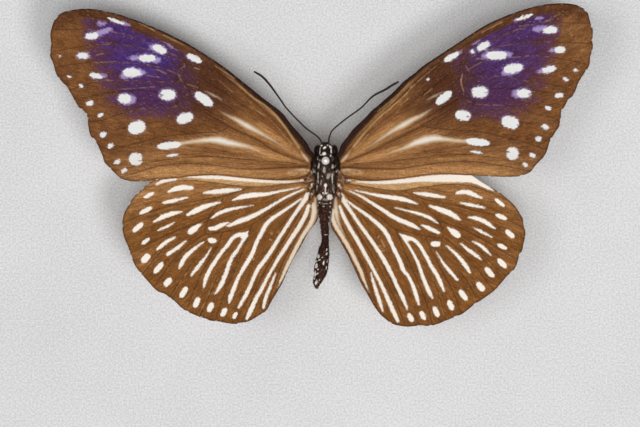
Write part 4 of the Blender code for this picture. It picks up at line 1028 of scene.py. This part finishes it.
# Antenna routes from the head outwards
LEFT_ANTENNA = [
    (-0.45, 2.85), (-0.65, 3.3), (-0.9, 3.75), (-1.4, 4.3), (-2, 4.75), (-3, 5.45), (-3.6, 5.95),
    (-4.3, 6.65), (-5, 7.35), (-5.8, 8.2), (-6.6, 9.1), (-7.3, 10.1), (-8, 11.1), (-8.7, 12.1), (-9.4, 13),
    (-10, 13.7), (-10.7, 14.35), (-11.3, 14.7), (-11.9, 15.05),
]
RIGHT_ANTENNA = [
    (0.5, 2.85), (0.55, 3.3), (0.58, 3.8), (0.75, 4.4), (1, 5.05), (1.5, 5.6), (2, 6.05), (3, 6.85),
    (4, 7.6), (5, 8.3), (6, 9.05), (6.7, 9.75), (7.3, 10.4), (8, 11), (8.5, 11.3), (9.3, 11.7), (10, 12.05),
    (11, 12.7), (12.2, 13.35),
]
# Legs and palps on the right side
FORELEG = [
    (0.5, 0.2, 22.4), (0.75, -0.5, 21.7), (0.7, -1.5, 21.4), (0.55, -2.2, 21.6),
]
MIDLEG = [
    (0.95, -1.5, 22.6), (1.9, -0.6, 21), (2.3, -2.6, 20.2), (1.9, -5.4, 19.95), (1.7, -8, 20.35),
]
HINDLEG = [
    (0.7, -3.9, 22.6), (1.2, -3.2, 20.9), (1.1, -5.6, 19.95), (0.65, -8.4, 20.05), (0.4, -11, 20.5),
]
PALP = [(0.42, 2.9, 23.4), (0.4, 3.15, 23.8), (0.32, 3.25, 24.3), (0.24, 3.28, 24.8), (0.2, 3.22, 25.15)]


CAP_BULGE = 0.35
BODY_STEP = 0.09
BODY_SIDES = 56
BODY_RELIEF = 0.05
SHARP_PALENESS = 1.25
SOFT_PALENESS = 0.5
BELOW_CENTRE = 0.3

# Lengths and widths of hairs, as shares of the asked ones
HAIR_LENGTHS = (0.55, 1.3)
HAIR_WIDTHS = (0.7, 1.3)
HAIR_WILDNESS = 0.35
HAIR_SINK = 0.05
HAIR_BEND = 0.12
PALE_SHORTENING = 0.55
# The share of the hairs that are as pale as the skin below them
PALE_HAIRS = 0.85


def loft(name, stations, material, marks, soft_marks):
    """A closed body through elliptic stations, with a bumpy coat and pale marks on its upper side."""
    spots = np.array(stations)
    path = smooth_path(spots[:, :3], BODY_STEP)
    share = path_distance(path, spots[:, :3])[1] * (len(spots) - 1)
    wide = np.interp(share, np.arange(len(spots)), spots[:, 3])
    tall = np.interp(share, np.arange(len(spots)), spots[:, 4])
    vertices = []
    for (y, x, z), half_width, half_height in zip(path, wide, tall):
        for i in range(BODY_SIDES):
            across, up = math.cos(i * math.tau / BODY_SIDES), math.sin(i * math.tau / BODY_SIDES)
            bump = 1 + BODY_RELIEF * noise.noise((across * 2.5, y * 1.4, up * 2.5))
            vertices.append((x + across * half_width * bump, y, z + up * half_height * bump))
    faces = ring_faces(len(path), BODY_SIDES)
    for end, inward in ((0, 1), (len(path) - 1, -1)):
        centre = len(vertices)
        y, x, z = path[end]
        vertices.append((x, y + CAP_BULGE * inward * (path[0][0] - path[1][0]), z))
        for i in range(BODY_SIDES):
            a, b = end * BODY_SIDES + i, end * BODY_SIDES + (i + 1) % BODY_SIDES
            faces.append((b, a, centre) if end == 0 else (a, b, centre))
    made = mesh_object(name, vertices, faces, material)
    where = np.array(vertices)
    upper = where[:, 2] > np.interp(where[:, 1], spots[::-1, 0], spots[::-1, 2]) - BELOW_CENTRE
    sharp = smoothstep(-0.07, 0.05, dot_depth(where[:, :2], marks))
    soft = smoothstep(-0.2, 0.15, dot_depth(where[:, :2], soft_marks))
    set_attribute(made, "pale", np.maximum(SHARP_PALENESS * sharp, SOFT_PALENESS * soft) * upper)
    return made


def coat(name, skin, count, length, width, lean, lift, material, seed):
    """Short flat hairs spread over a skin mesh, leaning one way, coloured like the skin below them."""
    chance = np.random.default_rng(seed)
    mesh = skin.data
    mesh.calc_loop_triangles()
    places = np.array([tuple(v.co) for v in mesh.vertices]) / MM
    normals = np.array([tuple(v.normal) for v in mesh.vertices])
    tones = np.zeros(len(places), np.float32)
    mesh.attributes["pale"].data.foreach_get("value", tones)
    triangles = np.array([tuple(t.vertices) for t in mesh.loop_triangles])
    corner = places[triangles]
    areas = np.linalg.norm(np.cross(corner[:, 1] - corner[:, 0], corner[:, 2] - corner[:, 0]), axis=1)
    picks = chance.choice(len(triangles), count, p=areas / areas.sum())
    blend = chance.dirichlet((1, 1, 1), count)
    root = np.einsum("ij,ijk->ik", blend, places[triangles[picks]])
    normal = np.einsum("ij,ijk->ik", blend, normals[triangles[picks]])
    tone = np.einsum("ij,ij->i", blend, tones[triangles[picks]])
    direction = np.array(lean) + lift * normal + chance.normal(0, HAIR_WILDNESS, (count, 3))
    direction /= np.linalg.norm(direction, axis=1)[:, None]
    side = np.cross(direction, normal)
    side /= np.linalg.norm(side, axis=1)[:, None]
    long = length * chance.uniform(*HAIR_LENGTHS, count) * (1 - PALE_SHORTENING * np.clip(tone, 0, 1))
    reach = direction * long[:, None]
    half = side * (0.5 * width * chance.uniform(*HAIR_WIDTHS, count))[:, None]
    base = root - normal * HAIR_SINK
    middle = root + reach * 0.55
    tip = root + reach - normal * long[:, None] * HAIR_BEND
    corners = (base - half, base + half, middle + half, middle - half, tip)
    starts = range(0, count * len(corners), len(corners))
    faces = [(s, s + 1, s + 2, s + 3) for s in starts] + [(s + 3, s + 2, s + 4) for s in starts]
    made = mesh_object(name, np.stack(corners, axis=1).reshape(-1, 3), faces, material)
    hair_tone = tone * np.where(chance.random(count) < PALE_HAIRS, 1, 0.3)
    set_attribute(made, "pale", np.repeat(hair_tone, len(corners)))
    set_attribute(made, "tone", np.repeat(chance.beta(0.8, 2.2, count), len(corners)))
    return made


def round_tube(name, path, radii, sides, material):
    """A closed tube through 3D points with a radius at each."""
    spots = np.array(path)
    vertices = []
    across = None
    for i, spot in enumerate(spots):
        ahead = Vector(spots[min(i + 1, len(spots) - 1)] - spots[max(i - 1, 0)]).normalized()
        across = ahead.orthogonal() if across is None else across - ahead * across.dot(ahead)
        across = across.normalized()
        other = ahead.cross(across)
        for j in range(sides):
            angle = j * math.tau / sides
            ring = across * math.cos(angle) + other * math.sin(angle)
            vertices.append(tuple(Vector(spot) + ring * radii[i]))
    last = (len(spots) - 1) * sides
    caps = [tuple(range(sides - 1, -1, -1)), tuple(range(last, last + sides))]
    return mesh_object(name, vertices, ring_faces(len(spots), sides) + caps, material)


def make_body():
    scales = scaly_paint("body_scales", (0.026, 0.013, 0.010), (0.25, 0.15, 0.11), (0.92, 0.85, 0.75))
    face = scaly_paint("head_scales", (0.012, 0.006, 0.005), (0.12, 0.07, 0.05), (0.92, 0.86, 0.75))
    collar = scaly_paint("collar_scales", (0.01, 0.005, 0.004), (0.06, 0.03, 0.02), (0.80, 0.72, 0.62))
    belly = scaly_paint("abdomen_scales", (0.02, 0.007, 0.004), (0.17, 0.07, 0.05), (0.80, 0.77, 0.70))
    # Each shape has its name and node, stations, marks and soft marks,
    # and each coat the number, length, width and lift of its hairs and a seed
    jobs = [
        (("thorax", "thorax", THORAX_STATIONS, THORAX_MARKS, THORAX_SOFT_MARKS_AND_PIN_SHADOW), scales,
         (7000, 0.4, 0.06, 0.38, 3)),
        (("head", "head", HEAD_STATIONS, HEAD_MARKS, []), face, (2600, 0.24, 0.055, 0.4, 4)),
        (("abdomen", "abdomen", ABDOMEN_STATIONS, ABDOMEN_MARKS, ABDOMEN_SOFT_MARKS), belly,
         (7000, 0.24, 0.1, 0.26, 5)),
    ]
    for side, word in ((-1, "left"), (1, "right")):
        stations = [(y, side * x, *rest) for y, x, *rest in TEGULA]
        marks = [(side * x, y, *halves, side * angle) for x, y, *halves, angle in TEGULA_MARKS]
        jobs.append(((f"tegula_{word}", "thorax", stations, marks, []), collar, (1500, 0.6, 0.06, 0.35, 6)))
    for shape, material, hair in jobs:
        name, node, stations, marks, soft = shape
        count, length, width, lift, seed = hair
        skin = loft(name + "_skin", stations, material, marks, soft)
        install(skin, node, "body_scales")
        hairs = coat(name + "_coat", skin, count, length, width, (0, -1, 0), lift, material, seed)
        install(hairs, node, "body_scales")


FOLD_STEP = 0.08
FOLD_SIDES = 20
ROOT_HAIRS = 320


def make_roots():
    """Folds of skin and pale hair between the thorax and the wings."""
    paint = scaly_paint("root_skin", (0.04, 0.016, 0.009), (0.42, 0.22, 0.12), (0.92, 0.73, 0.58))
    for side, word in ((-1, "left"), (1, "right")):
        for i, fold in enumerate(ROOT_FOLDS):
            path = smooth_path([(side * x, y, z) for x, y, z, _ in fold], FOLD_STEP)
            share = np.linspace(0, len(fold) - 1, len(path))
            radii = np.interp(share, np.arange(len(fold)), [radius for _, _, _, radius in fold])
            radii = radii * (1 + 0.3 * rough(path[:, :2], 2.2, 7))
            skin = round_tube(f"root_fold_{word}_{i}", path, radii, FOLD_SIDES, paint)
            places = np.array([tuple(v.co) for v in skin.data.vertices])[:, :2] / MM
            # Pale hair, and painted highlights on the glossy folds
            set_attribute(skin, "pale", smoothstep(-0.1, 0.08, dot_depth(places * (side, 1), ROOT_PALE_AND_HIGHLIGHT_MARKS)))
            set_attribute(skin, "tone", 0.5 + 0.5 * rough(places, 2.6, 12 + i))
            install(skin, f"forewing_{word}" if i == 0 else f"hindwing_{word}", "body_scales")
            lean = (side * 0.7, -0.6, 0)
            hairs = coat(f"root_hair_{word}_{i}", skin, ROOT_HAIRS, 0.45, 0.05, lean, 0.4, paint, 20 + i)
            install(hairs, "thorax", "body_scales")


EYE_RADII = (0.64, 1, 0.92)
EYE_APART = 1.36
EYES_MIDDLE = (0.1, 1.9, BODY_Z - 0.05)
FACETS_PER_MM = 11


def make_eyes():
    paint = Paint("eye_surface", 0.35, 0.1)
    facets = paint.new("TexVoronoi")
    paint.link(facets.inputs["Vector"], paint.place)
    facets.inputs["Scale"].default_value = FACETS_PER_MM
    edges = paint.ramp(facets.outputs["Distance"], 0.2, 0.6)
    paint.colour(paint.mix(edges, (0.016, 0.009, 0.006), (0.005, 0.003, 0.002)))
    paint.bump(facets.outputs["Distance"], -0.03, 0.5)
    for side, node in ((-1, "eye_left"), (1, "eye_right")):
        mesh = bpy.data.meshes.new(node)
        ball = bmesh.new()
        bmesh.ops.create_icosphere(ball, subdivisions=5, radius=1)
        bmesh.ops.scale(ball, vec=Vector(EYE_RADII) * MM, verts=ball.verts)
        centre = (Vector(EYES_MIDDLE) + Vector((side * EYE_APART, 0, 0))) * MM
        bmesh.ops.translate(ball, vec=centre, verts=ball.verts)
        ball.to_mesh(mesh)
        ball.free()
        mesh.shade_smooth()
        mesh.materials.append(paint.material)
        install(link_object(node + "_ball", mesh), node, "eyes")


ANTENNA_Z = BODY_Z + 0.9
ANTENNA_RISE = 0.9
ANTENNA_RADIUS = 0.135
CLUB_SWELL = 0.06
BEAD_SWELL = 0.07
LEGS = [("foreleg", FORELEG, 0.13), ("midleg", MIDLEG, 0.22), ("hindleg", HINDLEG, 0.22)]
FACE_X = 0.05
COIL_POINTS = 120
COIL_TURNS = 2.4
COIL_CENTRE = (FACE_X, 2.3, 22.2)


def make_limbs():
    paint = Paint("dark_horn", 0.42, 0.2)
    paint.colour(paint.mix(paint.noise(4, 2), (0.010, 0.005, 0.004), (0.03, 0.016, 0.012)))
    paint.bump(paint.noise(22, 2), 0.02, 0.6)

    def add_tube(piece, node, path, radii, sides=12):
        install(round_tube(piece, path, radii, sides, paint.material), node, "horn")

    for node, route in (("antenna_left", LEFT_ANTENNA), ("antenna_right", RIGHT_ANTENNA)):
        plan = smooth_path(route, 0.07)
        share = np.linspace(0, 1, len(plan))
        club = smoothstep(0.55, 0.86, share) * (1 - 0.75 * smoothstep(0.94, 1, share))
        beads = 1 + BEAD_SWELL * np.sin(np.arange(len(plan)) * math.pi / 2)
        path = np.column_stack((plan, ANTENNA_Z + ANTENNA_RISE * share))
        add_tube(node + "_ringed", node, path, (ANTENNA_RADIUS + CLUB_SWELL * club) * beads, 10)
    for side, word in ((-1, "left"), (1, "right")):
        for leg, route, thick in LEGS:
            path = smooth_path([(side * x, y, z) for x, y, z in route], 0.12)
            share = np.linspace(0, 1, len(path))
            knees = 1 + 0.2 * bell(share - 0.3, 0.03) + 0.15 * bell(share - 0.62, 0.03)
            radii = thick * (1 - 0.6 * share ** 0.8) * knees
            add_tube(f"{leg}_{word}_jointed", f"{leg}_{word}", path, radii)
        path = smooth_path([(FACE_X + side * x, y, z) for x, y, z in PALP], 0.08)
        radii = np.interp(np.linspace(0, 1, len(path)), (0, 0.3, 0.7, 1), (0.12, 0.19, 0.16, 0.05))
        add_tube(f"palp_{word}_tip", f"palp_{word}", path, radii)
    share = np.linspace(0, 1, COIL_POINTS)
    angle = math.radians(60) + COIL_TURNS * math.tau * share
    reach = 0.95 - 0.75 * share
    x, y, z = COIL_CENTRE
    coil = np.column_stack((0 * share + x, y + reach * np.cos(angle), z + reach * np.sin(angle)))
    add_tube("proboscis_coil", "proboscis", coil, 0.09 - 0.035 * share)


PIN_RADIUS = 0.25
PIN_HEAD_RADIUS = 0.65
PIN_TOP = 38
PIN_SIDES = 64
PIN_HEAD_RINGS = 24
PIN_TAPER_Z = 3
PIN_TIP_Z = 0.9
PIN_TIP_RADIUS = 0.1375


def make_pin():
    paint = Paint("pin_steel", 0.55, 0.6, metallic=0.6)
    paint.colour(paint.mix(paint.noise(1.4, 3), (0.96, 0.93, 0.88), (0.86, 0.83, 0.79)))
    paint.bump(paint.noise(14, 3), 0.01, 0.25)
    neck = math.pi - math.asin(PIN_RADIUS / PIN_HEAD_RADIUS)
    bends = [neck * (i + 1) / PIN_HEAD_RINGS for i in range(PIN_HEAD_RINGS)]
    profile = [(math.sin(a), math.cos(a) - 1) for a in bends]
    profile = [(PIN_HEAD_RADIUS * out, PIN_TOP + PIN_HEAD_RADIUS * up) for out, up in profile]
    profile += [(PIN_RADIUS, PIN_TAPER_Z), (PIN_TIP_RADIUS, PIN_TIP_Z)]
    turns = [j * math.tau / PIN_SIDES for j in range(PIN_SIDES)]
    vertices = [(r * math.cos(turn), r * math.sin(turn), z) for r, z in profile for turn in turns]
    vertices += [(0, 0, PIN_TOP), (0, 0, 0)]
    crown, point = len(vertices) - 2, len(vertices) - 1
    last = crown - PIN_SIDES
    faces = [face[::-1] for face in ring_faces(len(profile), PIN_SIDES)]
    for j in range(PIN_SIDES):
        k = (j + 1) % PIN_SIDES
        faces += [(crown, j, k), (point, last + k, last + j)]
    install(mesh_object("pin_turned", vertices, faces, paint.material), "pin", "pin_steel")


# Stage, light and camera

CAMERA_DISTANCE = 500
PHOTO_WIDTH_MM = 640 / 6
PHOTO_CENTRE = (-0.9, -8.58)
FLOOR_HALF = 600


def make_camera():
    data = bpy.data.cameras.new("camera")
    data.sensor_width = 36
    data.lens = data.sensor_width * CAMERA_DISTANCE / PHOTO_WIDTH_MM
    data.clip_start = 0.01
    made = link_object("camera", data)
    made.location = Vector((*PHOTO_CENTRE, FOREWING_Z + CAMERA_DISTANCE)) * MM
    bpy.context.scene.camera = made


def make_stage():
    paint = Paint("lining", 0.9, 0.1)
    clouds, grain = paint.times(paint.noise(0.06, 2), 0.15), paint.times(paint.noise(3.2, 4), 0.85)
    mottled = paint.math("ADD", clouds, grain)
    paint.colour(paint.mix(paint.ramp(mottled, 0.3, 0.7), (0.62, 0.62, 0.625), (0.84, 0.84, 0.845)))
    corners = [(x * FLOOR_HALF, y * FLOOR_HALF, FLOOR_Z) for x, y in ((-1, -1), (1, -1), (1, 1), (-1, 1))]
    floor = mesh_object("floor", corners, [(0, 1, 2, 3)], paint.material, smooth=False)


def area_light(name, place, size, energy):
    data = bpy.data.lights.new(name, "AREA")
    data.shape = "DISK"
    data.size = size * MM
    data.energy = energy
    made = link_object(name, data)
    made.location = Vector(place) * MM
    made.rotation_euler = (Vector((0, 0, BODY_Z)) - Vector(place)).to_track_quat("-Z", "Y").to_euler()


def make_lights():
    area_light("key", (380, -400, 1300), 380, 7)
    area_light("fill", (-480, -40, 1250), 500, 3.4)
    area_light("top", (0, -160, 1400), 400, 6.2)
    world = bpy.data.worlds.new("studio")
    world.use_nodes = True
    world.node_tree.nodes["Background"].inputs["Color"].default_value = (1, 1, 1, 1)
    world.node_tree.nodes["Background"].inputs["Strength"].default_value = 0.15
    bpy.context.scene.world = world
    bpy.context.scene.view_settings.view_transform = "Standard"


make_camera()
make_stage()
make_lights()
make_wings()
make_body()
make_roots()
make_eyes()
make_limbs()
make_pin()
